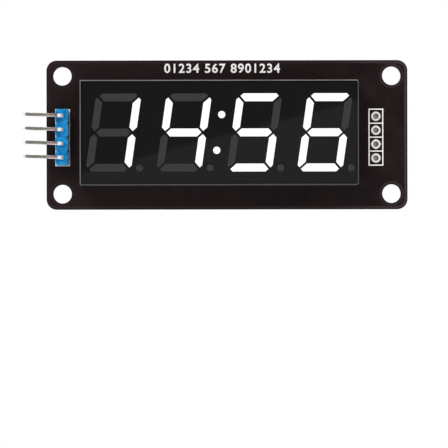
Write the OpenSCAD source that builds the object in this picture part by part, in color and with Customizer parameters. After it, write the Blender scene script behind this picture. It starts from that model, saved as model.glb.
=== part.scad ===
// Seven segment display module: four slanted digits and a colon on a black driver board.
// X runs to the right and Z upwards as the digits are read. The digits face towards -Y.
// The origin is the centre of the four mounting holes, on the back face of the board.
// All lengths are in millimetres.

/* [Circuit board] */
// Width of the board
board_w = 65.8; // [64.5:0.1:70]
// Height of the board
board_h = 27.2; // [26:0.1:30]
// Thickness of the board
board_t = 1.6; // [1:0.1:2]
// Radius of the board's four corners
board_r = 2.3; // [1:0.1:2.6]
// Diameter of the four mounting holes
mount_d = 3.4; // [2.8:0.1:3.5]
// From the board's side edges to the middle of a mounting hole
mount_inset_x = 2.9; // [2.8:0.05:3.4]
// From the board's top and bottom edges to the middle of a mounting hole
mount_inset_z = 2.85; // [2.8:0.05:3.4]

/* [Plated holes] */
// Thickness of the tinned copper on the board
pad_t = 0.05; // [0.04:0.01:0.1]
// Wall of the copper barrel inside a plated hole
barrel_t = 0.05; // [0.03:0.01:0.1]
// Inner diameter of the header's plated holes
header_hole_d = 1; // [0.95:0.05:1.1]
// Diameter of the header's ring pads
header_pad_d = 1.7; // [1.5:0.05:1.9]
// Inner diameter of the plated holes for the display's pins
display_hole_d = 0.9; // [0.8:0.05:1]
// Diameter of the ring pads for the display's pins
display_pad_d = 1.5; // [1.3:0.05:1.7]
// Side of the diamond that marks the ground pads
ground_pad_side = 1.4; // [1.3:0.05:1.6]

/* [Printed lines] */
// Thickness of the white printed lines
ink_t = 0.03; // [0.02:0.01:0.035]
// Width of the lines round the headers and the driver chip
line_w = 0.2; // [0.15:0.01:0.24]
// Width of the rings round the mounting holes
ring_w = 0.28; // [0.2:0.01:0.35]
// Bare gap between a mounting hole and its ring
ring_gap = 0.64; // [0.5:0.01:0.75]
// Width of the printed box round a header
header_box_w = 2.7; // [2.6:0.01:3]
// Height of the printed box round a header
header_box_h = 10.4; // [10.3:0.05:10.6]
// Width of the printed outline round the driver chip
chip_box_w = 13.57; // [13.3:0.01:13.8]
// Height of the printed outline round the driver chip
chip_box_h = 7.95; // [7.92:0.01:8.1]
// Diameter of the half round notch in the outline, at the end with the first pin
chip_box_notch = 1.7; // [1:0.1:3]
// Diameter of the small ring beside the driver chip's first lead
first_lead_ring_d = 0.6; // [0.5:0.02:0.66]
// Width of that small ring's line
first_lead_ring_line = 0.12; // [0.1:0.01:0.16]
// From the middle of the first lead to the middle of its ring
first_lead_ring_x = 0.94; // [0.85:0.01:1.1]
// Side of the five colour legend squares
legend_side = 1.22; // [0.8:0.01:1.3]
// Distance between the middles of two legend squares
legend_pitch = 1.5; // [1.4:0.01:1.6]
// Sideways place of the legend squares
legend_x = 18.5; // [12:0.1:22]
// Upright place of the middle legend square
legend_z = -0.35; // [-1:0.05:1]

/* [Display housing] */
// Width of the display's housing
display_w = 50.3; // [49.5:0.1:51]
// Height of the display's housing
display_h = 19; // [18.6:0.1:19.6]
// Depth from the board to the display's face
display_depth = 8; // [7:0.1:9]
// Gap between the header's body and the display's housing
header_gap = 2.22; // [1.7:0.02:2.7]
// Upright place of the display on the board
display_z = 0.25; // [-0.2:0.05:0.4]
// Bevel round the display's face
face_bevel = 0.2; // [0.1:0.05:0.4]
// Radius of the housing's two right-hand corners
shell_corner_r = 0.45; // [0.4:0.05:0.8]
// Height of the feet under the housing's corners
foot_h = 0.3; // [0.2:0.05:0.5]
// Side of the feet under the housing's corners
foot_side = 1.8; // [1:0.1:2.4]
// Wall of the housing round the inner circuit
rim_t = 1; // [0.8:0.05:1.1]
// Thickness of the display's inner circuit
inner_board_t = 1; // [0.8:0.1:1.2]
// Room between the inner circuit and the housing's wall
inner_board_gap = 0.1; // [0.05:0.01:0.2]
// Thickness of the resin that closes the housing's back
resin_t = 0.9; // [0.6:0.1:1.2]

/* [Digits] */
// Height of a digit
digit_h = 14.2; // [13.6:0.1:14.6]
// Width of an upright digit, before it leans
digit_w = 8.3; // [8:0.1:8.6]
// Distance between the middles of two digits
digit_pitch = 12.7; // [12.4:0.1:12.9]
// Lean of the digits, in degrees
digit_lean = 8; // [4:0.5:10]
// Height of the level segments
level_bar_t = 1.55; // [1.3:0.05:1.7]
// Width of the upright segments
upright_bar_t = 1.46; // [1.3:0.02:1.7]
// Gap between neighbouring segments
bar_gap = 0.28; // [0.2:0.02:0.4]
// How far a digit's outer corners are cut back, along each side
corner_cut = 1.15; // [0.8:0.05:1.4]
// Diameter of the decimal points and of the colon's dots
dot_d = 1.42; // [1.2:0.02:1.5]
// From a digit's middle to its decimal point, before it leans
point_x = 5.58; // [5.45:0.02:5.7]
// Half the distance between the colon's dots
colon_z = 3.22; // [2.4:0.02:4]
// Depth of the straight window at the front of each light well
window_depth = 1; // [0.8:0.1:1.6]
// How far the resin draws in at the face, round the edge of its window
resin_edge = 0.06; // [0.04:0.01:0.1]
// Share of the window that a light well keeps where the funnel begins
funnel_mouth = 0.92; // [0.85:0.01:0.95]
// Share of the window that a light well keeps at its floor
funnel_floor = 0.55; // [0.45:0.01:0.7]
// How far the funnel reaches up into the window
funnel_lap = 0.2; // [0.1:0.05:0.4]
// Side of a light chip
die_side = 0.36; // [0.3:0.02:0.4]
// Height of a light chip
die_h = 0.2; // [0.1:0.02:0.3]

/* [Display pins] */
// Distance between neighbouring pins in every row
pin_pitch = 2.54; // [2.5:0.01:2.58]
// Distance between the display's two rows of pins
display_row_gap = 15.24; // [15.1:0.02:15.5]
// Pins in each of the display's rows
display_row_pins = 6; // [4:1:7]
// Side of the display's square pins
display_pin_side = 0.5; // [0.45:0.01:0.52]
// How far the display's pins stand out of the board's back
display_pin_reach = 1; // [0.95:0.05:1.4]
// Height of the solder round a display pin
display_solder_h = 0.8; // [0.6:0.05:0.9]
// Diameter at the foot of the solder round a display pin
display_solder_d = 1.44; // [1.2:0.02:1.48]

/* [Header] */
// From the board's left edge to the header's pins
header_inset = 2.95; // [2.9:0.05:3.2]
// Upright place of the middle of the header
header_z = -0.45; // [-0.6:0.05:0]
// Pins in the header
header_pins_count = 4; // [3:1:4]
// Width of the header's plastic body
header_w = 2.36; // [2.3:0.02:2.54]
// Height of the header's plastic body above the board
header_h = 2.54; // [2.3:0.02:2.8]
// Depth of the notches between the header's pins
header_notch = 0.3; // [0.2:0.02:0.6]
// Side of the header's square pins
header_pin_side = 0.64; // [0.6:0.01:0.66]
// Radius of the bend in a header pin, at its middle
header_bend_r = 0.6; // [0.5:0.05:0.8]
// From the header's body to the middle of the level part of a pin
header_rise = 0.72; // [0.7:0.01:1]
// How far the pins reach past the board's edge
header_reach = 4.1; // [3:0.1:9]
// How far the header's pins stand out of the board's back
header_tail = 1.2; // [1.15:0.05:1.6]
// Length of the taper at a pin's tip
header_taper = 0.6; // [0.2:0.05:0.8]
// Side of the flat at a pin's tip
header_tip_side = 0.3; // [0.2:0.05:0.5]
// Height of the solder round a header pin
header_solder_h = 0.85; // [0.6:0.05:1]
// Diameter at the foot of the solder round a header pin
header_solder_d = 1.6; // [1.4:0.05:1.65]

/* [Spare header] */
// From the board's right edge to the spare header's pads
spare_inset = 5.75; // [5.6:0.05:6.2]
// How deep the solder sinks in front of a spare pad
spare_dip = 0.25; // [0.1:0.05:0.5]
// How high the solder swells behind a spare pad
spare_dome = 0.35; // [0.1:0.05:0.6]

/* [Driver chip] */
// Sideways place of the driver chip
chip_x = -0.77; // [-1.2:0.01:-0.4]
// Upright place of the driver chip
chip_z = 0.13; // [0:0.01:0.3]
// Length of the chip's body
chip_l = 12.8; // [12.6:0.05:13]
// Width of the chip's body
chip_w = 7.5; // [7.3:0.05:7.6]
// Height of the chip's body
chip_h = 2.3; // [2:0.05:2.5]
// Air under the chip's body
chip_gap = 0.1; // [0.05:0.05:0.2]
// How far each half of the body draws in towards its flat face
chip_draft = 0.18; // [0.1:0.02:0.3]
// Diameter of the dimple that marks the first pin
dimple_d = 0.86; // [0.6:0.02:1.2]
// Depth of the dimple
dimple_depth = 0.12; // [0.05:0.01:0.3]
// From the chip's short end to the middle of the dimple
dimple_inset_x = 1.1; // [1:0.05:2]
// From the chip's long side to the middle of the dimple
dimple_inset_z = 1.42; // [1.2:0.02:2]
// Leads on each long side of the chip
lead_count = 10; // [8:1:10]
// Distance between neighbouring leads
lead_pitch = 1.27; // [1.25:0.01:1.28]
// Width of a lead
lead_w = 0.42; // [0.35:0.01:0.5]
// Thickness of a lead
lead_t = 0.25; // [0.2:0.01:0.28]
// Distance across the chip between opposite lead tips
lead_span = 10.3; // [10.1:0.05:10.6]
// Radius of a lead's bends, at its middle
lead_bend_r = 0.25; // [0.2:0.01:0.28]
// Slope of the lead between its bends, in degrees
lead_slope = 80; // [75:1:85]
// Straight run of a lead before its first bend
lead_shoulder = 0.14; // [0.1:0.02:0.2]
// How far a lead is held inside the body
lead_root = 0.6; // [0.3:0.05:1]
// Length of the solder under a lead
lead_solder_l = 1.9; // [1.8:0.05:2]
// Width of the solder under a lead
lead_solder_w = 0.78; // [0.7:0.02:0.84]
// Height of the solder under a lead
lead_solder_h = 0.26; // [0.2:0.02:0.3]
// How far the solder under a lead draws in towards its top
lead_solder_draw_in = 0.14; // [0.05:0.01:0.2]
// How far the solder runs on past a lead's tip
lead_solder_toe = 0.95; // [0.8:0.05:1.05]

/* [Small chip parts] */
// Sideways place of the first chip part
part_x = -10.68; // [-10.8:0.02:-10.3]
// Upright place of the first row of chip parts
part_z = 5.05; // [4.8:0.05:5.2]
// Distance between neighbouring chip parts
part_pitch = 2.055; // [2:0.005:2.2]
// Distance between rows of chip parts
part_row_pitch = 3.55; // [3.5:0.01:3.8]
// Length of a chip part
part_l = 1.6; // [1.5:0.02:1.7]
// Width of a chip part
part_w = 0.8; // [0.75:0.01:0.9]
// Height of a chip resistor
resistor_h = 0.45; // [0.35:0.05:0.6]
// Height of a chip capacitor
capacitor_h = 0.8; // [0.6:0.05:0.9]
// Height of the power light's base
light_base_h = 0.3; // [0.2:0.05:0.4]
// Height of the power light's lens above its base
light_lens_h = 0.35; // [0.2:0.05:0.5]
// How far the lens draws in towards its top
light_lens_draw_in = 0.08; // [0.02:0.01:0.2]
// Length of a metal end cap
cap_l = 0.3; // [0.2:0.02:0.4]
// Wall of a metal end cap
cap_t = 0.03; // [0.02:0.01:0.05]
// Width of a chip part's solder pads
part_pad_w = 1.08; // [1:0.02:1.2]
// How far a solder pad runs on past the end of its part
part_pad_toe = 0.5; // [0.4:0.02:0.55]
// How far a solder pad reaches under its part
part_pad_lap = 0.34; // [0.3:0.02:0.4]
// Share of a resistor's height that its solder climbs
resistor_solder_climb = 0.8; // [0.5:0.05:0.95]
// Share of a capacitor's height that its solder climbs
capacitor_solder_climb = 0.6; // [0.4:0.05:0.95]
// Width of the printed brackets round a chip part
bracket_w = 1.82; // [1.75:0.01:1.95]
// Height of a pair of printed brackets
bracket_h = 3.38; // [3.3:0.01:3.45]
// Width of the brackets' lines
bracket_line_w = 0.18; // [0.14:0.01:0.22]
// Length of a bracket's arms
bracket_arm = 1.07; // [0.8:0.01:1.2]
// Corner cut of the brackets that have one
bracket_cut = 0.18; // [0.1:0.01:0.4]

/* [Hidden] */
$fn = 48;

// Planes from front to back
face_y = -board_t - display_depth;
shell_back_y = -board_t - foot_h;
inner_board_back_y = shell_back_y - resin_t;
ledge_y = inner_board_back_y - inner_board_t;
header_base_y = -board_t - pad_t;
header_top_y = header_base_y - header_h;
pin_level_y = header_top_y - header_rise;
lead_mid_y = chip_gap + chip_h / 2;
funnel_h = ledge_y - face_y - window_depth + funnel_lap;

// Places on the board
mount_x = board_w / 2 - mount_inset_x;
mount_z = board_h / 2 - mount_inset_z;
header_x = -board_w / 2 + header_inset;
spare_x = board_w / 2 - spare_inset;
display_x = header_x + header_w / 2 + header_gap + display_w / 2;
display_row_half = display_row_gap / 2;
header_pin_places = [for (i = [0 : header_pins_count - 1])
    header_z + (i - (header_pins_count - 1) / 2) * pin_pitch];
// The ground pin is the second from the bottom
ground_place = header_pin_places[1];
display_pin_places = [for (side = [-1, 1], i = [0 : display_row_pins - 1])
    [display_x + (i - (display_row_pins - 1) / 2) * pin_pitch,
     display_z + side * display_row_half]];

// Inner circuit of the display
recess_w = display_w - 2 * rim_t;
recess_h = display_h - 2 * rim_t;

// Corners of a digit, before it leans
outer_x = digit_w / 2;
outer_z = digit_h / 2;
inner_x = outer_x - upright_bar_t;
inner_z = outer_z - level_bar_t;
waist_x = (outer_x + inner_x) / 2;
// Sideways share of the gap at a mitre of 45 degrees
mitre = bar_gap / sqrt(2);
// The cut corners lie where X + Z has this value
cut_sum = outer_x + outer_z - corner_cut;
level_apex_z = (cut_sum - inner_x + inner_z + mitre) / 2;
upright_apex_z = (cut_sum - inner_x + inner_z - mitre) / 2;
shoulder_z = mitre + waist_x - inner_x;

// Outline of the top segment, the upper right segment and the middle segment
top_bar = [
    [-inner_x + mitre, inner_z], [inner_x - mitre, inner_z],
    [cut_sum - level_apex_z, level_apex_z], [cut_sum - outer_z, outer_z],
    [outer_z - cut_sum, outer_z], [level_apex_z - cut_sum, level_apex_z]];
right_bar = [
    [waist_x, mitre], [outer_x, shoulder_z], [outer_x, cut_sum - outer_x],
    [cut_sum - upright_apex_z, upright_apex_z], [inner_x, inner_z - mitre],
    [inner_x, shoulder_z]];
middle_half = level_bar_t / 2;
middle_bar = [
    [-waist_x + mitre, 0], [-waist_x + mitre + middle_half, -middle_half],
    [waist_x - mitre - middle_half, -middle_half], [waist_x - mitre, 0],
    [waist_x - mitre - middle_half, middle_half], [-waist_x + mitre + middle_half, middle_half]];

// Each segment is one of the outlines, turned over sideways or upright
function turned(outline, flip_x, flip_z) = [for (p = outline) [p.x * flip_x, p.y * flip_z]];
function leaned(p) = [p.x + p.y * tan(digit_lean), p.y];
SEGMENTS = ["a", "b", "c", "d", "e", "f", "g"];
SEGMENT_OUTLINES = [
    top_bar, right_bar, turned(right_bar, 1, -1), turned(top_bar, 1, -1),
    turned(right_bar, -1, -1), turned(right_bar, -1, 1), middle_bar];
function mean(points) = [for (p = points) 1] * points / len(points);

// Middle of each digit on the board's face
DIGITS = [1, 2, 3, 4];
function digit_middle(digit) = [display_x + (digit - 2.5) * digit_pitch, display_z];
function segment_outline(digit, s) =
    [for (p = SEGMENT_OUTLINES[s]) leaned(p) + digit_middle(digit)];
function point_place(digit) =
    digit_middle(digit) + leaned([point_x, -outer_z + dot_d / 2]);
function colon_place(side) = [display_x, display_z] + leaned([0, side * colon_z]);

// Segments that are lit, digit by digit, so that the display reads 14:56
LIT = ["bc", "bcfg", "acdfg", "acdefg"];
lit_colour = "white";
unlit_colour = "#3c3c3c";
function segment_colour(digit, s) =
    len(search(SEGMENTS[s], LIT[digit - 1])) > 0 ? lit_colour : unlit_colour;

// Chip parts: column and row of each one
RESISTORS = [[2, 0], [2, 1], [3, 1]];
CAPACITORS = [[0, 0], [1, 0], [2, 2], [3, 2]];
POWER_LIGHT = [3, 0];
// These have no cut corners in their lower bracket
PLAIN_BELOW = [[0, 0], [1, 0]];
function part_place(part) = [part_x - part[0] * part_pitch, part_z - part[1] * part_row_pitch];

// Bends of a lead, as seen along the chip: how far out, and how high above the board
foot_mid_y = pad_t + lead_t / 2;
lead_turn = lead_mid_y - foot_mid_y - 2 * lead_bend_r * (1 - cos(lead_slope));
lead_fall = lead_turn / sin(lead_slope);
bend_out = chip_w / 2 + lead_shoulder;
bend_in = bend_out + 2 * lead_bend_r * sin(lead_slope) + lead_fall * cos(lead_slope);
bend_steps = 5;
upwards = 90;
downwards = 270;
function arc(out, high, r, from, to) = [for (i = [0 : bend_steps])
    let (a = from + (to - from) * i / bend_steps) [high + r * sin(a), out + r * cos(a)]];
lead_root_out = chip_w / 2 - lead_root;
lead_tip_out = lead_span / 2;
lead_profile = concat(
    [[lead_mid_y + lead_t / 2, lead_root_out]],
    arc(bend_out, lead_mid_y - lead_bend_r, lead_bend_r + lead_t / 2, upwards, upwards - lead_slope),
    arc(bend_in, foot_mid_y + lead_bend_r, lead_bend_r - lead_t / 2, downwards - lead_slope, downwards),
    [[foot_mid_y + lead_t / 2, lead_tip_out], [foot_mid_y - lead_t / 2, lead_tip_out]],
    arc(bend_in, foot_mid_y + lead_bend_r, lead_bend_r + lead_t / 2, downwards, downwards - lead_slope),
    arc(bend_out, lead_mid_y - lead_bend_r, lead_bend_r - lead_t / 2, upwards - lead_slope, upwards),
    [[lead_mid_y - lead_t / 2, lead_root_out]]);

// Longer than any hole is deep
through = 20;

LIGHT_NODES = concat(
    [for (digit = DIGITS, s = SEGMENTS) str("digit_", digit, "_segment_", s)],
    [for (digit = DIGITS) str("digit_", digit, "_point")],
    ["colon_upper", "colon_lower"]);

// A flat outline drawn in X and Z, thickened from depth y towards the back
module slab(y, thickness)
    translate([0, y + thickness, 0]) rotate([90, 0, 0]) linear_extrude(thickness) children();

// A profile drawn as depth and height, pulled along X
module pulled_along_x(length)
    rotate([90, 0, 90]) linear_extrude(length, center = true) children();

// Turns what is drawn round Z so that it points to the back
module to_back(x, y, z) translate([x, y, z]) rotate([-90, 0, 0]) children();

module bored(x, z, d) to_back(x, -through, z) cylinder(d = d, h = 2 * through);

// Circuit board
module board_outline() {
    square([board_w - 2 * board_r, board_h], center = true);
    square([board_w, board_h - 2 * board_r], center = true);
    for (sx = [-1, 1], sz = [-1, 1])
        translate([sx * (board_w / 2 - board_r), sz * (board_h / 2 - board_r)]) circle(board_r);
}

module circuit_board() color("#1c1213") difference() {
    slab(-board_t, board_t) board_outline();
    for (sx = [-1, 1], sz = [-1, 1]) bored(sx * mount_x, sz * mount_z, mount_d);
    for (z = header_pin_places, x = [header_x, spare_x]) bored(x, z, header_hole_d + 2 * barrel_t);
    for (p = display_pin_places) bored(p.x, p.y, display_hole_d + 2 * barrel_t);
}

// One plated hole: a copper barrel through the board with a ring pad on each face
module plated_hole(x, z, hole_d, ring_d, ground = false) difference() {
    union() {
        to_back(x, -board_t, z) cylinder(d = hole_d + 2 * barrel_t, h = board_t);
        for (y = [-board_t - pad_t, 0]) {
            to_back(x, y, z) cylinder(d = ring_d, h = pad_t);
            if (ground) slab(y, pad_t) translate([x, z]) rotate(45)
                square(ground_pad_side, center = true);
        }
    }
    bored(x, z, hole_d);
}

module plated_holes() color("#c9c5bb") {
    for (x = [header_x, spare_x], z = header_pin_places)
        plated_hole(x, z, header_hole_d, header_pad_d, z == ground_place);
    for (p = display_pin_places) plated_hole(p.x, p.y, display_hole_d, display_pad_d);
}

// Printed lines
module frame_outline(w, h, line) difference() {
    square([w, h], center = true);
    square([w - 2 * line, h - 2 * line], center = true);
}

module header_box(x, cells) slab(-board_t - ink_t, ink_t) translate([x, header_z]) {
    frame_outline(header_box_w, header_box_h, line_w);
    if (cells) for (i = [1 : header_pins_count - 1])
        translate([0, (i - header_pins_count / 2) * pin_pitch])
            square([header_box_w - line_w, line_w], center = true);
}

module front_silkscreen() color("#efeee9") {
    header_box(header_x, false);
    header_box(spare_x, true);
}

// One printed bracket, open towards the part's middle, with one or both corners cut. The inner
// cut is shorter, so that the line keeps its width there.
function inner_cut(cut) = max(0, cut - bracket_line_w * (2 - sqrt(2)));
module bracket(cut_left, cut_right) {
    half = bracket_w / 2;
    top = bracket_h / 2;
    line = bracket_line_w;
    difference() {
        polygon([[-half, top - bracket_arm], [half, top - bracket_arm], [half, top - cut_right],
            [half - cut_right, top], [-half + cut_left, top], [-half, top - cut_left]]);
        translate([0, -line]) polygon([[-half + line, 0], [half - line, 0],
            [half - line, top - inner_cut(cut_right)], [half - line - inner_cut(cut_right), top],
            [-half + line + inner_cut(cut_left), top], [-half + line, top - inner_cut(cut_left)]]);
    }
}

module bracket_pair(part) slab(0, ink_t) translate(part_place(part)) {
    plain = len([for (p = PLAIN_BELOW) if (p == part) p]) > 0;
    bracket(bracket_cut, 0);
    mirror([0, 1]) bracket(plain ? 0 : bracket_cut, plain ? 0 : bracket_cut);
}

// Outline of the driver chip. Its half round notch runs on under the chip's body.
module chip_box() {
    notch_x = (chip_box_w - line_w) / 2;
    difference() {
        union() {
            frame_outline(chip_box_w, chip_box_h, line_w);
            intersection() {
                square([chip_box_w, chip_box_h], center = true);
                translate([notch_x, 0]) circle(d = chip_box_notch + 2 * line_w);
            }
        }
        translate([notch_x, 0]) circle(d = chip_box_notch);
    }
}

module first_lead_ring() difference() {
    circle(d = first_lead_ring_d);
    circle(d = first_lead_ring_d - 2 * first_lead_ring_line);
}

module back_silkscreen() color("#efeee9") {
    for (sx = [-1, 1], sz = [-1, 1]) to_back(sx * mount_x, 0, sz * mount_z) difference() {
        cylinder(d = mount_d + 2 * ring_gap + 2 * ring_w, h = ink_t);
        translate([0, 0, -ink_t]) cylinder(d = mount_d + 2 * ring_gap, h = 3 * ink_t);
    }
    slab(0, ink_t) translate([chip_x, chip_z]) {
        chip_box();
        translate([lead_places[lead_count - 1] + first_lead_ring_x, -lead_tip_out])
            first_lead_ring();
    }
    for (part = concat(RESISTORS, CAPACITORS, [POWER_LIGHT])) bracket_pair(part);
    for (i = [-2 : 2]) slab(0, ink_t) translate([legend_x, legend_z + i * legend_pitch])
        square(legend_side, center = true);
}

// A light well: a straight window at the face, then a funnel down to the light chip on the
// inner circuit
module light_window(outline) slab(face_y, window_depth) polygon(outline);

module light_funnel(outline) {
    middle = mean(outline);
    translate([middle.x, ledge_y, middle.y]) rotate([90, 0, 0])
        linear_extrude(funnel_h, scale = funnel_mouth / funnel_floor)
            polygon([for (p = outline) (p - middle) * funnel_floor]);
}

module dot_window(place) to_back(place.x, face_y, place.y) cylinder(d = dot_d, h = window_depth);

module dot_funnel(place) to_back(place.x, ledge_y - funnel_h, place.y)
    cylinder(d1 = dot_d * funnel_mouth, d2 = dot_d * funnel_floor, h = funnel_h);

// The resin in a window, which draws in at the face
module window_resin(outline) hull() {
    slab(face_y + resin_edge, window_depth - resin_edge) polygon(outline);
    slab(face_y, resin_edge) offset(delta = -resin_edge) polygon(outline);
}

module dot_resin(place) {
    to_back(place.x, face_y, place.y)
        cylinder(d1 = dot_d - 2 * resin_edge, d2 = dot_d, h = resin_edge);
    to_back(place.x, face_y + resin_edge, place.y)
        cylinder(d = dot_d, h = window_depth - resin_edge);
}

module light_chip(place) translate([place.x, ledge_y - die_h / 2, place.y])
    cube([die_side, die_h, die_side], center = true);

module segment(digit, s) color(segment_colour(digit, s)) difference() {
    union() {
        window_resin(segment_outline(digit, s));
        light_funnel(segment_outline(digit, s));
    }
    light_chip(mean(segment_outline(digit, s)));
}

module dot(place, shade) color(shade) difference() {
    union() {
        dot_resin(place);
        dot_funnel(place);
    }
    light_chip(place);
}

// Display housing
module shell_block() {
    w = display_w / 2;
    h = display_h / 2;
    translate([display_x, 0, display_z]) intersection() {
        linear_extrude(display_h, center = true)
            polygon([[-w, shell_back_y], [w, shell_back_y], [w, face_y + face_bevel],
                [w - face_bevel, face_y], [-w + face_bevel, face_y], [-w, face_y + face_bevel]]);
        pulled_along_x(display_w)
            polygon([[shell_back_y, -h], [shell_back_y, h], [face_y + face_bevel, h],
                [face_y, h - face_bevel], [face_y, -h + face_bevel], [face_y + face_bevel, -h]]);
    }
}

// What the rounding takes off the upper right corner of the housing
module shell_corner_waste()
    translate([display_w / 2 - shell_corner_r, 0, display_h / 2 - shell_corner_r]) difference() {
        translate([0, -through, 0]) cube([2 * shell_corner_r, 2 * through, 2 * shell_corner_r]);
        to_back(0, face_y, 0)
            cylinder(r1 = shell_corner_r - face_bevel, r2 = shell_corner_r, h = face_bevel);
        to_back(0, face_y + face_bevel, 0) cylinder(r = shell_corner_r, h = through);
    }

module display_shell() color("#1b1b1d") difference() {
    union() {
        shell_block();
        for (sx = [-1, 1], sz = [-1, 1]) slab(shell_back_y, foot_h)
            translate([display_x + sx * (display_w - foot_side) / 2,
                display_z + sz * (display_h - foot_side) / 2]) square(foot_side, center = true);
    }
    translate([display_x, 0, display_z]) {
        shell_corner_waste();
        mirror([0, 0, 1]) shell_corner_waste();
    }
    slab(ledge_y, through) translate([display_x, display_z])
        square([recess_w, recess_h], center = true);
    for (digit = DIGITS, s = [0 : len(SEGMENTS) - 1]) {
        light_window(segment_outline(digit, s));
        light_funnel(segment_outline(digit, s));
    }
    for (place = concat([for (digit = DIGITS) point_place(digit)],
                        [colon_place(1), colon_place(-1)])) {
        dot_window(place);
        dot_funnel(place);
    }
}

module inner_circuit() color("#2f5a3c") difference() {
    slab(ledge_y, inner_board_t) translate([display_x, display_z])
        square([recess_w - 2 * inner_board_gap, recess_h - 2 * inner_board_gap], center = true);
    display_pins();
}

module light_chips() color("#d8c25a") {
    for (digit = DIGITS) {
        for (s = [0 : len(SEGMENTS) - 1]) light_chip(mean(segment_outline(digit, s)));
        light_chip(point_place(digit));
    }
    for (side = [-1, 1]) light_chip(colon_place(side));
}

module potting_resin() color("#d9d6cc") difference() {
    slab(inner_board_back_y, resin_t) translate([display_x, display_z])
        square([recess_w, recess_h], center = true);
    display_pins();
}

module display_pins() color("#b9b3a4")
    for (p = display_pin_places)
        translate([p.x - display_pin_side / 2, ledge_y, p.y - display_pin_side / 2])
            cube([display_pin_side, display_pin_reach - ledge_y, display_pin_side]);

// Solder round a pin: it fills the plated hole and climbs the pin behind the board, with a
// hollow flank that ends just past the pin's corners
solder_steps = 6;
solder_hollow = 1.5;
solder_collar = 0.72;
function solder_rise(foot_r, top_r, h) = [for (i = [0 : solder_steps])
    let (t = i / solder_steps)
        [top_r + (foot_r - top_r) * pow(1 - t, solder_hollow), pad_t + h * t]];

module solder_joint(x, z, foot_d, pin_side, hole_d, h) difference() {
    to_back(x, 0, z) {
        rotate_extrude() polygon(concat([[0, pad_t]],
            solder_rise(foot_d / 2, pin_side * solder_collar, h), [[0, pad_t + h]]));
        translate([0, 0, -board_t]) cylinder(d = hole_d, h = board_t + pad_t);
    }
    translate([x - pin_side / 2, -through, z - pin_side / 2])
        cube([pin_side, 2 * through, pin_side]);
}

module display_solder() color("#d7d5d0")
    for (p = display_pin_places)
        solder_joint(p.x, p.y, display_solder_d, display_pin_side, display_hole_d,
            display_solder_h);

module header_solder() color("#bdbab4")
    for (z = header_pin_places)
        solder_joint(header_x, z, header_solder_d, header_pin_side, header_hole_d,
            header_solder_h);

// Solder that fills a spare hole: sunk in front, swollen behind
module spare_pad_solder() color("#d7d5d0") {
    r = header_hole_d / 2;
    swell_r = header_solder_d / 2;
    for (z = header_pin_places) to_back(spare_x, 0, z) rotate_extrude() polygon(concat(
        [[0, -board_t + spare_dip]],
        [for (i = [1 : solder_steps]) let (t = i / solder_steps)
            [r * t, -board_t + spare_dip * (1 - t * t)]],
        [[r, pad_t]],
        [for (i = [0 : solder_steps]) let (a = 90 * i / solder_steps)
            [swell_r * cos(a), pad_t + spare_dome * sin(a)]]));
}

// Header body: one cell per pin, with a notch on both sides between cells
module header_body() color("#1e86c8") {
    w = header_w / 2;
    half = header_pins_count * pin_pitch / 2;
    right = [for (i = [0 : header_pins_count - 1])
        let (low = -half + i * pin_pitch, high = low + pin_pitch)
        each [[w - header_notch, low], [w, low + header_notch],
              [w, high - header_notch], [w - header_notch, high]]];
    difference() {
        slab(header_top_y, header_h) translate([header_x, header_z])
            polygon(concat(right, [for (i = [len(right) - 1 : -1 : 0]) [-right[i].x, right[i].y]]));
        for (z = header_pin_places) translate([header_x, 0, z])
            cube([header_pin_side, through, header_pin_side], center = true);
    }
}

// A square bar along X from 0 to length, tapered to a small flat at its far end
module tipped_bar(length) {
    w = header_pin_side / 2;
    tip = header_tip_side / 2;
    profile = [[0, -w], [length - header_taper, -w], [length, -tip], [length, tip],
        [length - header_taper, w], [0, w]];
    intersection() {
        linear_extrude(header_pin_side, center = true) polygon(profile);
        rotate([90, 0, 0]) linear_extrude(header_pin_side, center = true) polygon(profile);
    }
}

module header_pin(z) translate([header_x, pin_level_y + header_bend_r, z]) {
    rotate([0, 0, 90]) tipped_bar(header_tail - pin_level_y - header_bend_r);
    translate([-header_bend_r, 0, 0]) rotate([0, 0, -90]) rotate_extrude(angle = 90)
        translate([header_bend_r, 0]) square(header_pin_side, center = true);
    translate([-header_bend_r, -header_bend_r, 0]) rotate([0, 0, 180])
        tipped_bar(header_inset + header_reach - header_bend_r);
}

module header_pins() color("#a89f8d") for (z = header_pin_places) header_pin(z);

// Driver chip
module at_chip() translate([chip_x, 0, chip_z]) children();
lead_places = [for (i = [0 : lead_count - 1]) (i - (lead_count - 1) / 2) * lead_pitch];

module chip_leads() for (x = lead_places, turn = [0, 1]) mirror([0, 0, turn])
    translate([x, 0, 0]) pulled_along_x(lead_w) polygon(lead_profile);

// Half profile of the body: it draws in from the parting line to both flat faces
function drafted(half) = [
    [-half, lead_mid_y], [-half + chip_draft, chip_gap], [half - chip_draft, chip_gap],
    [half, lead_mid_y], [half - chip_draft, chip_gap + chip_h],
    [-half + chip_draft, chip_gap + chip_h]];

module driver_chip_body() color("#28201d") at_chip() difference() {
    intersection() {
        linear_extrude(chip_w, center = true) polygon(drafted(chip_l / 2));
        pulled_along_x(chip_l) polygon([for (p = drafted(chip_w / 2)) [p.y, p.x]]);
    }
    to_back(chip_l / 2 - dimple_inset_x, chip_gap + chip_h - dimple_depth,
        -chip_w / 2 + dimple_inset_z) cylinder(d = dimple_d, h = chip_h);
    chip_leads();
}

module driver_chip_leads() color("#cfccc6") at_chip() chip_leads();

// A low mound of solder with round ends, along Z from 0 to length
module solder_mound(length, w, h, draw_in) {
    r = w / 2;
    for (z = [r, length - r]) to_back(0, 0, z) cylinder(r1 = r, r2 = r - draw_in, h = h);
    translate([0, 0, r]) linear_extrude(length - w)
        polygon([[-r, 0], [r, 0], [r - draw_in, h], [-r + draw_in, h]]);
}

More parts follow.
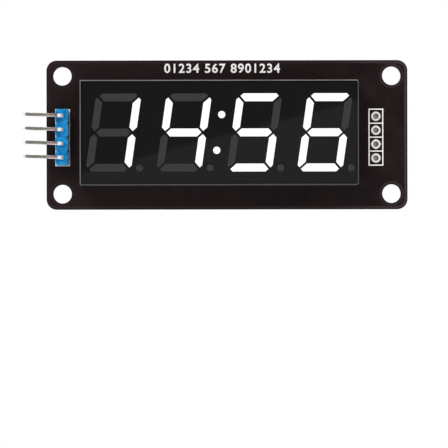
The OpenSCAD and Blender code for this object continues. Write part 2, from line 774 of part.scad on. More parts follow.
module driver_chip_solder() color("#d7d5d0") at_chip() difference() {
    for (x = lead_places, turn = [0, 1]) mirror([0, 0, turn])
        translate([x, 0, lead_tip_out + lead_solder_toe - lead_solder_l])
            solder_mound(lead_solder_l, lead_solder_w, lead_solder_h, lead_solder_draw_in);
    chip_leads();
}

// Small chip parts, each along Z on its two pads. Their ends wear metal caps.
module part_block(w, l, y, h) translate([-w / 2, y, -l / 2]) cube([w, h, l]);

module at_part(part) {
    place = part_place(part);
    translate([place.x, 0, place.y]) children();
}

module ceramic_block(h) {
    part_block(part_w, part_l - 2 * cap_l, pad_t, h);
    part_block(part_w - 2 * cap_t, part_l - 2 * cap_t, pad_t + cap_t, h - 2 * cap_t);
}

module end_caps(h) difference() {
    part_block(part_w, part_l, pad_t, h);
    ceramic_block(h);
}

module chip_resistors() color("#1d1c1d") for (part = RESISTORS) at_part(part)
    ceramic_block(resistor_h);

module chip_capacitors() color("#a58f80") for (part = CAPACITORS) at_part(part)
    ceramic_block(capacitor_h);

module chip_end_caps() color("#cfccc6") {
    for (part = RESISTORS) at_part(part) end_caps(resistor_h);
    for (part = CAPACITORS) at_part(part) end_caps(capacitor_h);
    at_part(POWER_LIGHT) end_caps(light_base_h);
}

module power_light_base() color("#efeee6") at_part(POWER_LIGHT) ceramic_block(light_base_h);

module power_light_lens() color("#f4f6ee") at_part(POWER_LIGHT) {
    w = part_w / 2;
    l = part_l / 2 - cap_l;
    low = pad_t + light_base_h;
    high = low + light_lens_h;
    draw_in = light_lens_draw_in;
    intersection() {
        linear_extrude(2 * l, center = true)
            polygon([[-w, low], [w, low], [w - draw_in, high], [draw_in - w, high]]);
        pulled_along_x(2 * w)
            polygon([[low, -l], [low, l], [high, l - draw_in], [high, draw_in - l]]);
    }
}

// Solder at one end of a chip part: a pad, and a hollow fillet that climbs the end cap
module part_solder(h) {
    fillet = [for (i = [0 : solder_steps]) let (a = 90 * i / solder_steps)
        [pad_t + h * (1 - sin(a)), part_l / 2 + part_pad_toe * (1 - cos(a))]];
    for (turn = [0, 1]) mirror([0, 0, turn]) {
        pulled_along_x(part_pad_w) polygon([[0, part_l / 2 - part_pad_lap],
            [pad_t, part_l / 2 - part_pad_lap], [pad_t, part_l / 2 + part_pad_toe],
            [0, part_l / 2 + part_pad_toe]]);
        pulled_along_x(part_w) polygon(concat([[pad_t, part_l / 2]], fillet));
    }
}

module chip_solder() color("#d7d5d0") {
    for (part = RESISTORS) at_part(part) part_solder(resistor_h * resistor_solder_climb);
    for (part = CAPACITORS) at_part(part) part_solder(capacitor_h * capacitor_solder_climb);
    at_part(POWER_LIGHT) part_solder(light_base_h);
}

circuit_board();
plated_holes();
front_silkscreen();
back_silkscreen();
display_shell();
inner_circuit();
light_chips();
potting_resin();
display_pins();
display_solder();
header_body();
header_pins();
header_solder();
spare_pad_solder();
driver_chip_body();
driver_chip_leads();
driver_chip_solder();
chip_resistors();
chip_capacitors();
chip_end_caps();
chip_solder();
power_light_base();
power_light_lens();
for (digit = DIGITS) {
    for (s = [0 : len(SEGMENTS) - 1])
        segment(digit, s);
    dot(point_place(digit), unlit_colour);
}
dot(colon_place(1), lit_colour);  // colon_upper
dot(colon_place(-1), lit_colour);  // colon_lower
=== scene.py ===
# %% [markdown]
# A seven segment clock display, dressed for its portrait.
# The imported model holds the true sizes: a black circuit board, a display housing with leaning
# digits, a blue pin header, and a driver chip with small parts behind.
# This notebook gives every surface its finish, and swaps the smallest metal and plastic parts
# for softer shapes, because real solder, pins and moulded plastic have no knife edges.

import bmesh
import bpy
import numpy as np
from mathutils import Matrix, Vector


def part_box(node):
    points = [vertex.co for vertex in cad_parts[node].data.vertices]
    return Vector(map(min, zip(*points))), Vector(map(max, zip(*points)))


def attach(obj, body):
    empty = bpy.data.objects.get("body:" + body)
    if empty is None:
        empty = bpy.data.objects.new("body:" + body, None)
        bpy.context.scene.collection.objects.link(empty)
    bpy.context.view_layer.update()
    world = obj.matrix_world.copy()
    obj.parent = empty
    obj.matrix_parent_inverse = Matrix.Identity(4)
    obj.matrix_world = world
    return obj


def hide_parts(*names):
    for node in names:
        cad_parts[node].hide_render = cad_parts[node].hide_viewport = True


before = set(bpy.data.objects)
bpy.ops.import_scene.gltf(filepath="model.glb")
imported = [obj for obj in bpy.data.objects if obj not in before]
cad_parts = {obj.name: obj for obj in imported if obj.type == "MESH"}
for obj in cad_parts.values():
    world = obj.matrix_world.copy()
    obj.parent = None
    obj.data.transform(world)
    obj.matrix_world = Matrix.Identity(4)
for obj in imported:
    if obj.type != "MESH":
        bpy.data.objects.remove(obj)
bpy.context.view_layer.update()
MM = 0.001
print("CAD nodes:", len(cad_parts))


# %% [markdown]
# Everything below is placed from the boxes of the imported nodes. Two small functions read them in
# millimetres, which suit a part this small: one gives the two corners, the other the middles of
# copies that stand in an even row, such as the pins of a header.

# %% Read places from the frame
def corners(node):
    """Lowest and highest corner of a node, in millimetres."""
    low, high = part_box(node)
    return np.array(low) / MM, np.array(high) / MM


def row_of(low, high, width, count):
    """Middles of count equal things that fill the stretch from low to high edge to edge."""
    return np.linspace(low + width / 2, high - width / 2, count)


PIN_PITCH = 2.54
board_low, board_high = corners("circuit_board")
print("board:", np.round(board_high - board_low, 2))


# %% [markdown]
# A surface here is a grid of points: each row is one loop round the shape, and the rows follow one
# another along it. numpy works all points out at once, and the faces are the grid's own squares.
# A row may shrink to one point, which closes an end, so points that fall together are merged and
# squares that lose a corner become triangles.

# %% Turn grids of points into shapes
def around(steps):
    """Angles of one full turn. The end is left out, because it is the start again."""
    return np.arange(steps) * (2 * np.pi / steps)


def grid_faces(rows, columns, rows_close, columns_close):
    """Corner numbers of each square of a grid. A closed direction wraps from its end to its start."""
    row = np.arange(rows if rows_close else rows - 1)[:, None]
    column = np.arange(columns if columns_close else columns - 1)[None, :]
    next_row, next_column = (row + 1) % rows, (column + 1) % columns
    square = [row * columns + column, row * columns + next_column,
              next_row * columns + next_column, next_row * columns + column]
    return np.stack(square, axis=-1).reshape(-1, 4)


def shape_from(grid, rows_close=False, columns_close=True):
    """Points and faces of one grid, turned so that its faces point outwards: six times the volume
    is the sum over all faces of one corner times the cross product of the next two, and a shape
    whose volume comes out below nought is inside out."""
    points = grid.reshape(-1, 3)
    faces = grid_faces(*grid.shape[:2], rows_close, columns_close)
    a, b, c, d = (points[faces[:, k]] - points.mean(axis=0) for k in range(4))
    volume = (a * (np.cross(b, c) + np.cross(c, d))).sum()
    return points, faces if volume > 0 else faces[:, ::-1]


def joined(shapes):
    """Several shapes as one, with the corner numbers counted on."""
    counts = np.cumsum([0] + [len(points) for points, _ in shapes])
    points = np.concatenate([points for points, _ in shapes])
    return points, np.concatenate([faces + n for (_, faces), n in zip(shapes, counts)])


# %% Turn shapes into pieces
CREASE = 40


def fill_mesh(mesh, points, faces, owner):
    """Merges points of one shape that fall together, to a ten thousandth of a millimetre, and fills
    the mesh. Points of two shapes that touch stay apart, so that each shape stays closed."""
    places = np.column_stack([np.round(points * 1e4), owner])
    _, first, number = np.unique(places, axis=0, return_index=True, return_inverse=True)
    faces = number.reshape(-1)[faces]
    kept = faces != np.roll(faces, 1, axis=1)
    real = kept.sum(axis=1) > 2
    faces, kept = faces[real], kept[real]
    sides = kept.sum(axis=1)
    mesh.vertices.add(len(first))
    mesh.vertices.foreach_set("co", (points[first] * MM).ravel())
    mesh.loops.add(int(kept.sum()))
    mesh.loops.foreach_set("vertex_index", faces[kept])
    mesh.polygons.add(len(faces))
    mesh.polygons.foreach_set("loop_start", np.cumsum(sides) - sides)
    mesh.update(calc_edges=True)
    mesh.validate()


def settle(piece, finish, replaced=()):
    """Gives a piece its finish, lets it ride on the body, hides the imported parts it replaces,
    and prints its number of points and faces.
    """
    piece.data.materials.append(finish)
    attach(piece, "root")
    if replaced:
        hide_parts(*replaced)
    print(f"{piece.name}: {len(piece.data.vertices)} points, {len(piece.data.polygons)} faces")


def make_piece(name, shapes, finish, replaced=()):
    """One piece from several shapes. Edges sharper than CREASE degrees stay crisp."""
    mesh = bpy.data.meshes.new(name)
    owner = np.repeat(np.arange(len(shapes)), [len(points) for points, _ in shapes])
    fill_mesh(mesh, *joined(shapes), owner)
    mesh.shade_smooth()
    mesh.set_sharp_from_angle(angle=np.radians(CREASE))
    piece = bpy.data.objects.new(name, mesh)
    bpy.context.scene.collection.objects.link(piece)
    settle(piece, finish, replaced)


# %% [markdown]
# The camera comes first, so that each step can be looked at. The photograph is taken from far away,
# square to the board, with the module in the upper half of the picture. A long lens does that. The
# lens is not shifted: the camera simply stands a little lower than the board and looks level. It
# is rolled by a tenth of a degree, as the board's long edges rise that much to the right on average.

# %% Camera
SENSOR = 36.0
LENS = 286.5
CAMERA_PLACE = np.array([-0.57, -651.6, -16.24])
CAMERA_ROLL = 0.1

camera_data = bpy.data.cameras.new("camera")
camera_data.sensor_width = SENSOR
camera_data.lens = LENS
camera_data.clip_end = 20
camera = bpy.data.objects.new("camera", camera_data)
camera.location = CAMERA_PLACE * MM
camera.rotation_euler = (np.pi / 2, np.radians(CAMERA_ROLL), 0)
bpy.context.scene.collection.objects.link(camera)
bpy.context.scene.camera = camera
bpy.context.scene.view_settings.view_transform = "Standard"
print("camera stands", np.round(-CAMERA_PLACE[1]), "mm in front of the board's back")


# %% [markdown]
# The light is that of a product picture: large soft boxes on all sides, none of them straight
# behind the camera, so that the glossy black faces mirror a dark room while the white print and
# the metal catch the boxes. The room itself is white to the camera and dim to everything else.

# %% Room and soft boxes
ROOM_DIM = 0.10
FLOOR_BELOW = 300.0
FLOOR_HALF = 2500.0
FLOOR_PALE = (0.85, 0.85, 0.85)
FLOOR_GLOW = 0.25
SOFT_BOXES = {
    "box_top_left": ((-300, -560, 480), 420, 3.7),
    "box_top_right": ((360, -560, 400), 380, 1.5),
    "box_right": ((480, -380, 30), 560, 1.6),
    "box_below": ((-40, -560, -260), 380, 0.65),
    "box_back_left": ((-250, 500, 400), 460, 2.3),
    "box_back_right": ((280, 500, 360), 460, 1.9),
    "box_back_below": ((30, 520, -260), 380, 0.7),
}


def light_room():
    """White where the camera looks, dim for light and reflections."""
    world = bpy.data.worlds.new("room")
    bpy.context.scene.world = world
    world.use_nodes = True
    tree = world.node_tree
    shade = tree.nodes["Background"]
    shade.inputs["Color"].default_value = (1, 1, 1, 1)
    path = tree.nodes.new("ShaderNodeLightPath")
    strength = tree.nodes.new("ShaderNodeMapRange")
    strength.inputs["To Min"].default_value = ROOM_DIM
    tree.links.new(path.outputs["Is Camera Ray"], strength.inputs["Value"])
    tree.links.new(strength.outputs[0], shade.inputs["Strength"])


def soft_box(name, place, side, power):
    """A square area light that faces the module."""
    lamp = bpy.data.lights.new(name, "AREA")
    lamp.size = side * MM
    lamp.energy = power
    holder = bpy.data.objects.new(name, lamp)
    holder.location = np.array(place) * MM
    holder.rotation_euler = holder.location.to_track_quat("Z", "Y").to_euler()
    holder.visible_camera = False
    bpy.context.scene.collection.objects.link(holder)


light_room()
for name, (place, side, power) in SOFT_BOXES.items():
    soft_box(name, place, side, power)
print("soft boxes:", len(SOFT_BOXES))


# %% [markdown]
# The pale floor lies far below, out of the camera's sight, because the module is held by its four
# screw holes and rests on nothing. The photograph shows one more thing of the room: the glossy face
# mirrors something pale below a slanting straight line. A dim card behind the camera does the same.
# A face point is mirrored onto the card at the camera's place plus the way from the camera to that
# point, stretched by one plus the card's distance over the camera's distance.

# %% Floor and mirrored card
CARD_AWAY = 1000.0
CARD_STRENGTH = 0.28
CARD_REACH = 260.0
MIRROR_LINE = [(-25.7, -6.9), (23.8, 6.0)]


def flat_sheet(name, points, colour, strength):
    """A stage sheet with one face, that may glow a little."""
    mesh = bpy.data.meshes.new(name)
    mesh.from_pydata((np.array(points) * MM).tolist(), [], [list(range(len(points)))])
    sheet = bpy.data.objects.new(name, mesh)
    bpy.context.scene.collection.objects.link(sheet)
    cover = bpy.data.materials.new(name)
    cover.use_nodes = True
    shader = cover.node_tree.nodes["Principled BSDF"]
    shader.inputs["Base Color"].default_value = (*colour, 1)
    shader.inputs["Roughness"].default_value = 0.9
    shader.inputs["Emission Color"].default_value = (1, 1, 1, 1)
    shader.inputs["Emission Strength"].default_value = strength
    mesh.materials.append(cover)
    return sheet


flat_sheet("floor", [(x * FLOOR_HALF, y * FLOOR_HALF, -FLOOR_BELOW) for x, y in (
    (-1, -1), (1, -1), (1, 1), (-1, 1))], FLOOR_PALE, FLOOR_GLOW)

face_y = corners("display_shell")[0][1]
stretch = 1 + CARD_AWAY / (face_y - CAMERA_PLACE[1])
ends = np.array([(x, face_y, z) for x, z in MIRROR_LINE])
ends = CAMERA_PLACE + (ends - CAMERA_PLACE) * [stretch, 0, stretch]
ends[:, 1] = face_y - CARD_AWAY
slant = (ends[1] - ends[0]) / np.linalg.norm(ends[1] - ends[0])
left, right = ends[0] - slant * CARD_REACH, ends[1] + slant * CARD_REACH
below_line = [0, 0, CARD_REACH]
card = flat_sheet("mirrored_card", [left, right, right - below_line, left - below_line],
                  (0, 0, 0), CARD_STRENGTH)
card.visible_camera = card.visible_diffuse = card.visible_shadow = False
print("the card's edge runs from", np.round(ends[0]), "to", np.round(ends[1]))


# %% [markdown]
# Finishes are node materials. These small functions are the words they are written in: one makes
# the shader, one gives the place on the object in millimetres, one a grain of a wanted size, and
# the rest spread a colour, a roughness or a relief by such a pattern. One finish is made at a time,
# so the words need not be told which: they add to the one that was begun last. A value that is the
# same all over is set straight on the shader.

# %% Words for finishes
work = {}


def finish_of(name, colour, roughness, metallic=0.0, gloss=0.5):
    """A new material with one shader. It is now the one at work, which all words below add to."""
    material = bpy.data.materials.new(name)
    material.use_nodes = True
    work.update(tree=material.node_tree, shader=material.node_tree.nodes["Principled BSDF"])
    for socket, value in (("Base Color", (*colour, 1)), ("Roughness", roughness),
                          ("Metallic", metallic), ("Specular IOR Level", gloss)):
        spread(socket, value)
    return material


def fill(socket, value):
    """Sets a number, vector or colour on a socket, or wires another socket to it."""
    if isinstance(value, bpy.types.NodeSocket):
        work["tree"].links.new(value, socket)
    else:
        socket.default_value = value


def spread(socket, value):
    """Fills one of the shader's sockets."""
    fill(work["shader"].inputs[socket], value)


def add_node(kind, inputs, **settings):
    """A node with its settings made and its inputs filled."""
    made = work["tree"].nodes.new(kind)
    for key, value in settings.items():
        setattr(made, key, value)
    for key, value in inputs.items():
        fill(made.inputs[key], value)
    return made


def maths(operation):
    """A word for one kind of sum on numbers or sockets."""
    return lambda first, second=0.0: add_node(
        "ShaderNodeMath", {0: first, 1: second}, operation=operation).outputs[0]


plus, minus, times, above, below, larger, smaller, unsigned, root, sine = map(maths, (
    "ADD", "SUBTRACT", "MULTIPLY", "GREATER_THAN", "LESS_THAN", "MAXIMUM", "MINIMUM",
    "ABSOLUTE", "SQRT", "SINE"))


def place_on(stretch=(1, 1, 1), middle=(0, 0, 0)):
    """The place on the object in millimetres, from a chosen middle, stretched along each axis."""
    where = add_node("ShaderNodeTexCoord", {})
    scale = np.array(stretch) / MM
    return add_node("ShaderNodeMapping", {
        "Vector": where.outputs["Object"], "Scale": scale, "Location": -np.array(middle) * stretch,
    }).outputs[0]


def axes_of(place):
    """The three numbers of a place."""
    return add_node("ShaderNodeSeparateXYZ", {0: place}).outputs


def grain(size, stretch=(1, 1, 1), detail=3.0):
    """Cloudy noise from 0 to 1, with patches of about size millimetres."""
    return add_node("ShaderNodeTexNoise", {
        "Vector": place_on(stretch), "Scale": 1 / size, "Detail": detail,
    }).outputs["Fac"]


def ramp(value, low, high, from_low=0.35, from_high=0.65):
    """Carries a value from one range to another and holds it there."""
    return add_node("ShaderNodeMapRange", {
        "Value": value, "From Min": from_low, "From Max": from_high, "To Min": low, "To Max": high,
    }).outputs[0]


def patches(size, **shape):
    """Clouds with clear middles: 0 in some patches and 1 in others."""
    return ramp(grain(size, **shape), 0, 1)


def blend(amount, *colours):
    """The first colour where amount is 0 and the second where it is 1."""
    mix = add_node("ShaderNodeMix", {0: amount}, data_type="RGBA")
    for socket, colour in zip(mix.inputs[6:8], colours):
        fill(socket, colour if isinstance(colour, bpy.types.NodeSocket) else (*colour, 1))
    return mix.outputs[2]


def relief(height, depth):
    """Bump of depth millimetres from a height between 0 and 1."""
    spread("Normal", add_node("ShaderNodeBump", {"Height": height, "Distance": depth * MM}).outputs[0])


def surface_direction():
    """The three numbers of the direction that the surface faces."""
    return axes_of(add_node("ShaderNodeNewGeometry", {}).outputs["Normal"])


def mottled(name, pale, dark, roughness, size, gloss=0.5, bump=None, **shape):
    """A plain finish of two colours in cloudy patches. A bump is its grain's size and its depth."""
    material = finish_of(name, pale, roughness, gloss=gloss)
    spread("Base Color", blend(patches(size, **shape), pale, dark))
    if bump:
        relief(grain(bump[0]), bump[1])
    return material


def dress(finish, *nodes):
    """Puts a finish on CAD nodes, whose shapes stay as they are."""
    for name in nodes:
        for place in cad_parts[name].material_slots:
            place.material = finish


# %% [markdown]
# The board is glass laminate with a copper sheet on each side, hatched into a fine slanting net so
# that the board stays flat, and a black mask with a touch of brown over everything. The net shows
# through the mask as tiny dimples. Near the rim and round the screw holes the copper stops, which
# leaves a smooth darker margin; along its edge runs a faint painted highlight, fainter round the
# holes. All of that depends only on the distance to the rim and to the nearest screw hole, so the
# finish works those distances out with a few sums and needs no picture. The net and the edge
# highlight are painted stronger to the right in front, and towards the top behind, as painted light
# where it grazes them. The whole back of the mask is painted darker than the front: painted shade.

# %% Board mask
HATCH_PITCH = 0.66
CORNER_R = 1.88
HOLE_PLACE = (30.0, 10.75)
HOLE_R = 1.7
POUR_MARGIN = 0.42
MASK_DARK = (0, 0, 0)
MASK_LIGHT = (0.0202, 0.0118, 0.0126)
# Painted highlight along the edge of the copper margin.
POUR_EDGE_HIGHLIGHT = (0.050, 0.043, 0.043)
# Painted shade: the back of the same mask gets darker colours than the front.
BEHIND_SHADED_DARK = (0.0026, 0.0002, 0.0002)
BEHIND_SHADED_PALE = (0.0075, 0.0030, 0.0034)
BEHIND_TRACK = (0.0210, 0.0150, 0.0150)
EDGE_LAMINATE = (0.012, 0.0085, 0.006)
# How far across the board the net and the edge highlight are painted stronger, as painted light.
NET_LIT_RANGE, LINE_LIT_RANGE = (-15, 28), (20, 32)
BEHIND_LIT_RANGE = (0, 9)
TRACK_LEVEL = 0.004


def length_of(across, along):
    """Root of the sum of two squares."""
    squares = [times(v, v) for v in (across, along)]
    return root(plus(*squares))


def rim_distance(x, z):
    """How far inside the board's rounded rim a place lies: the corner radius less the length of
    what is left of the place when a block, smaller than the board by that radius, is taken away."""
    over = [larger(minus(unsigned(v), high - CORNER_R)) for v, high in zip((x, z), board_high[[0, 2]])]
    return minus(CORNER_R, length_of(*over))


def hole_distance(x, z):
    """How far a place lies from the wall of the nearest of the four screw holes."""
    off = [minus(unsigned(v), middle) for v, middle in zip((x, z), HOLE_PLACE)]
    return minus(length_of(*off), HOLE_R)


def hatch_net(x, z):
    """Two sets of slanting waves: the product of the sines of x + z and x - z is high in the
    middle of each mesh of the net."""
    waves = [sine(times(way(x, z), np.pi / HATCH_PITCH)) for way in (plus, minus)]
    return unsigned(times(*waves))


def board_mask():
    """Black mask over hatched copper, and bare dark laminate at the milled edge."""
    material = finish_of("board_mask", MASK_LIGHT, 0.25, gloss=0.085)
    x, y, z = axes_of(place_on())
    clear = smaller(rim_distance(x, z), hole_distance(x, z))
    pour = ramp(clear, 0, 1, POUR_MARGIN, POUR_MARGIN + 0.15)
    mesh_hole = times(ramp(hatch_net(x, z), 0, 1, 0.2, 0.5), pour)
    cloud = grain(4.0)
    # Painted light: the net and the edge highlight are painted stronger to the right in front.
    painted_net_light = times(mesh_hole, times(ramp(x, 0.35, 1.0, *NET_LIT_RANGE), ramp(cloud, 0.35, 1.2)))
    line = ramp(unsigned(minus(clear, POUR_MARGIN)), 1, 0, 0.06, 0.17)
    line = times(line, ramp(x, 0.18, 0.9, *LINE_LIT_RANGE))
    line = times(line, ramp(hole_distance(x, z), 0.4, 1, 0.7, 0.9))
    front = blend(line, blend(painted_net_light, MASK_LIGHT, MASK_DARK), POUR_EDGE_HIGHLIGHT)
    # Painted light: behind, the net is painted stronger towards the top.
    upper = times(mesh_hole, ramp(z, 0, 1, *BEHIND_LIT_RANGE))
    # Painted shade: the back's colours are darker than the front's.
    back = blend(above(y, TRACK_LEVEL), blend(upper, BEHIND_SHADED_DARK, BEHIND_SHADED_PALE), BEHIND_TRACK)
    behind = above(y, -0.1)
    edge = ramp(unsigned(surface_direction()[1]), 1, 0, 0.4, 0.6)
    spread("Base Color", blend(edge, blend(behind, front, back), EDGE_LAMINATE))
    spread("Roughness", minus(ramp(cloud, 0.2, 0.32), times(behind, 0.12)))
    relief(minus(pour, times(mesh_hole, 0.5)), 0.015)
    return material


mask_finish = board_mask()
print("board mask: net pitch", HATCH_PITCH, "mm, margin", POUR_MARGIN, "mm")


# %% [markdown]
# The real board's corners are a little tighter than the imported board's. All else of its mesh is
# right, holes and all, so a copy is taken and only its rim moves. A point of the rim is the middle
# of its corner's arc plus the radius times a direction. The middle and the radius change, and the
# direction stays. The long sides stay where they are, so the board keeps its size.

# %% Board with tighter corners
PACKED_CORNER_R = 2.3
RIM_SLACK = 0.02


def read_mesh(node):
    """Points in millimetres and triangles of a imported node."""
    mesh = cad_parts[node].data
    points, corners_of = np.empty(len(mesh.vertices) * 3), np.empty(len(mesh.loops), int)
    mesh.vertices.foreach_get("co", points)
    mesh.loops.foreach_get("vertex_index", corners_of)
    return points.reshape(-1, 3) / MM, corners_of.reshape(-1, 3)


def tighter_corners(points):
    """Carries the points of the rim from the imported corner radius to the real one."""
    half, middle = (board_high - board_low)[[0, 2]] / 2, (board_high + board_low)[[0, 2]] / 2
    flat = points[:, [0, 2]] - middle
    core = np.clip(flat, PACKED_CORNER_R - half, half - PACKED_CORNER_R)
    way = (flat - core) / PACKED_CORNER_R
    in_corner = np.abs(np.abs(core) - (half - PACKED_CORNER_R)) < RIM_SLACK
    core = np.where(in_corner, np.sign(core) * (half - CORNER_R), core)
    on_rim = np.linalg.norm(way, axis=1) > 1 - RIM_SLACK
    points[on_rim] = np.insert((middle + core + CORNER_R * way)[on_rim], 1, points[on_rim, 1], axis=1)
    return points


board_points, board_faces = read_mesh("circuit_board")
make_piece("circuit_board_milled", [(tighter_corners(board_points), board_faces)], mask_finish,
           ["circuit_board"])


# %% [markdown]
# White ink is screen printed: it lies in a thin film with slightly ragged density, so its white is
# a little uneven. Four of the five legend squares on the back are left grey, which marks the colour
# of this module's light as the white one on top. The small ring by the chip's first lead is printed
# thinner and looks grey too. Both share their node with the rings and brackets, so the grey is
# spread by place.

# %% White ink
INK_WHITE = (0.94, 0.92, 0.91)
INK_THIN = (0.80, 0.79, 0.78)
INK_GREY = (0.25, 0.24, 0.24)
GREY_PLACES = [((17.8, 19.2), (-4.2, 1.8)), ((5.2, 7.0), (-5.8, -4.4))]


def within(value, low, high):
    """1 where the value lies between low and high, 0 elsewhere."""
    return times(above(value, low), below(value, high))


def white_ink():
    """Screen printed ink, thin in places."""
    material = finish_of("white_ink", INK_WHITE, 0.6, gloss=0.3)
    film = blend(ramp(grain(0.25), 0, 0.5, 0.45, 0.75), INK_WHITE, INK_THIN)
    x, y, z = axes_of(place_on())
    grey = plus(*[times(within(x, *across), within(z, *upright)) for across, upright in GREY_PLACES])
    spread("Base Color", blend(times(grey, above(y, -0.5)), film, INK_GREY))
    relief(grain(0.1), 0.004)
    return material


ink_finish = white_ink()
dress(ink_finish, "front_silkscreen", "back_silkscreen")


# %% [markdown]
# The display housing is moulded in glossy black plastic and its face is sprayed black. The edge
# round the face is slightly bevelled, and the bevel is painted pale as a highlight, brightest at the
# top and left where the light falls, which draws the thin grey frame round the face. The bevel is
# the only face that slopes both forwards and sideways, so the surface's own direction finds it. The
# walls are a little rougher than the face, as moulds leave them.

# %% Display housing
FACE_BLACK = (0.0050, 0.0050, 0.0051)
FACE_RIM = (0.0020, 0.0020, 0.0020)
# Painted highlight on the bevel: paler where the light falls, dimmer on the other sides.
BEVEL_HIGHLIGHT = (0.185, 0.175, 0.175)
BEVEL_HIGHLIGHT_DIM = (0.036, 0.033, 0.033)
FACE_ON = 0.95


def from_middle(node):
    """How far a place lies inside the side and the top or bottom of a node's box, the nearer one."""
    low, high = corners(node)
    x, _, z = axes_of(place_on(middle=(low + high) / 2))
    return smaller(*[minus(half, unsigned(v)) for v, half in zip((x, z), (high - low)[[0, 2]] / 2)])


def housing_black():
    """Sprayed face with a darker rim, a bevel painted pale as a highlight, and moulded walls."""
    material = finish_of("housing_black", FACE_BLACK, 0.1)
    sideways, backward, upward = surface_direction()
    forward = times(backward, -1)
    # Painted highlight: the bevel is painted paler on its top and left sides.
    lit_side = minus(upward, times(sideways, 0.7))
    bevel_highlight = times(ramp(lit_side, 0, 1, -0.7, 0.5), ramp(grain(6.0), 0.75, 1.0))
    rim = ramp(from_middle("display_shell"), 1, 0, 0.4, 0.6)
    face, pale = blend(rim, FACE_BLACK, FACE_RIM), blend(bevel_highlight, BEVEL_HIGHLIGHT_DIM, BEVEL_HIGHLIGHT)
    spread("Base Color", blend(within(forward, 0.4, FACE_ON), face, pale))
    wall = below(forward, FACE_ON)
    spread("Roughness", ramp(wall, 0.02, 0.42, 0, 1))
    relief(times(grain(0.3), wall), 0.01)
    return material


housing_finish = housing_black()
dress(housing_finish, "display_shell")


# %% [markdown]
# Each segment is clear resin with a milky powder in it, cast into its well on top of a tiny light
# chip. A lit one glows evenly up to the sloping edge of its window, a dark one is plain dull grey,
# and on both that sloping edge is painted black as shade. The glow is set on the shader as light of
# its own, with a colour that dims a little in cloudy patches, as the powder is never quite even.

# %% Segment resin
GLOW_BRIGHT = (1.0, 1.0, 1.0)
GLOW_SOFT = (0.955, 0.957, 0.965)
GLOW_STRENGTH = 0.98
LIT_BODY = (0.1, 0.1, 0.1)
DARK_RESIN = (0.028, 0.028, 0.028)
DARK_RESIN_PALE = (0.033, 0.033, 0.033)
# Painted shade on the sloping edges of the resin windows.
WINDOW_EDGE_SHADE = (0.004, 0.004, 0.004)
LIT_SEGMENTS = {1: "bc", 2: "bcfg", 3: "acdfg", 4: "acdefg"}


def window_edge():
    """1 on the sloping edge of a resin window, 0 on its face."""
    return above(surface_direction()[1], -0.9)


def lit_resin():
    """Milky resin with the light chip on."""
    material = finish_of("lit_resin", LIT_BODY, 0.5, gloss=0.2)
    edge = window_edge()
    # The sloping edge gets no glow and is painted black: painted shade.
    spread("Emission Color", blend(edge, blend(patches(1.2), GLOW_BRIGHT, GLOW_SOFT), WINDOW_EDGE_SHADE))
    spread("Base Color", blend(edge, LIT_BODY, WINDOW_EDGE_SHADE))
    spread("Emission Strength", GLOW_STRENGTH)
    return material


def unlit_resin():
    """The same resin with the light chip off."""
    material = finish_of("unlit_resin", DARK_RESIN, 0.5, gloss=0.1)
    cloud = patches(0.8)
    dull = blend(cloud, DARK_RESIN, DARK_RESIN_PALE)
    # Painted shade: the sloping edge is painted black.
    spread("Base Color", blend(window_edge(), dull, WINDOW_EDGE_SHADE))
    spread("Roughness", ramp(cloud, 0.5, 0.6, 0, 1))
    relief(grain(0.2), 0.003)
    return material


lit_finish, unlit_finish = lit_resin(), unlit_resin()
for digit, lit in LIT_SEGMENTS.items():
    for segment in "abcdefg":
        dress(lit_finish if segment in lit else unlit_finish, f"digit_{digit}_segment_{segment}")
    dress(unlit_finish, f"digit_{digit}_point")
dress(lit_finish, "colon_upper", "colon_lower")
print("lit segments:", sum(len(lit) for lit in LIT_SEGMENTS.values()), "and two colon dots")


# %% [markdown]
# Inside the housing sit a small green circuit with the light chips on it, and a layer of pale
# resin that seals the back. They show only through the slit under the housing, but each is a real
# thing with its own finish.

# %% Inner parts
LAMINATE = (0.03, 0.10, 0.05)
LAMINATE_SHADES = (0.022, 0.08, 0.038), (0.045, 0.125, 0.065)
WEAVE = 12


def inner_laminate():
    """Green laminate with a faint weave: the product of two sines."""
    material = finish_of("inner_laminate", LAMINATE, 0.5)
    x, _, z = axes_of(place_on())
    weave = times(sine(times(x, WEAVE)), sine(times(z, WEAVE)))
    spread("Base Color", blend(ramp(weave, 0, 1, -1, 1), *LAMINATE_SHADES))
    return material


dress(inner_laminate(), "inner_circuit")
dress(mottled("potting_resin", (0.66, 0.63, 0.55), (0.56, 0.53, 0.46), 0.22, 3.0, bump=(3.0, 0.05)),
      "potting_resin")
dress(mottled("light_chip", (0.68, 0.55, 0.12), (0.5, 0.38, 0.08), 0.35, 0.08, stretch=(1, 6, 1)),
      "light_chips")


# %% [markdown]
# All metal here is tin in some state: dull on the pads, bright and lumpy in the solder, plated over
# brass on the pins, and cleaner on the chip's leads. The pads, the leads and the small parts' caps are
# one kind of finish with different colour, roughness and grain, so one function makes them; the
# solder and the pins each get a function of their own.

# %% Metal
SOLDER_CLEAN = (0.94, 0.93, 0.91), (0.76, 0.75, 0.74)
# Painted shade: the colours of solder sunk into a hole in front.
SOLDER_SUNK_SHADED = (0.30, 0.29, 0.29), (0.20, 0.19, 0.19)
SOLDER_GRAIN = 0.6


def tin(name, bright, dull, smooth, rough, size, metallic=1.0):
    """A metal that is bright and smooth in some patches, and dull and rough in others."""
    material = finish_of(name, bright, smooth, metallic)
    patch = patches(size)
    spread("Base Color", blend(patch, bright, dull))
    spread("Roughness", ramp(patch, smooth, rough, 0, 1))
    relief(grain(size / 3), 0.01)
    return material


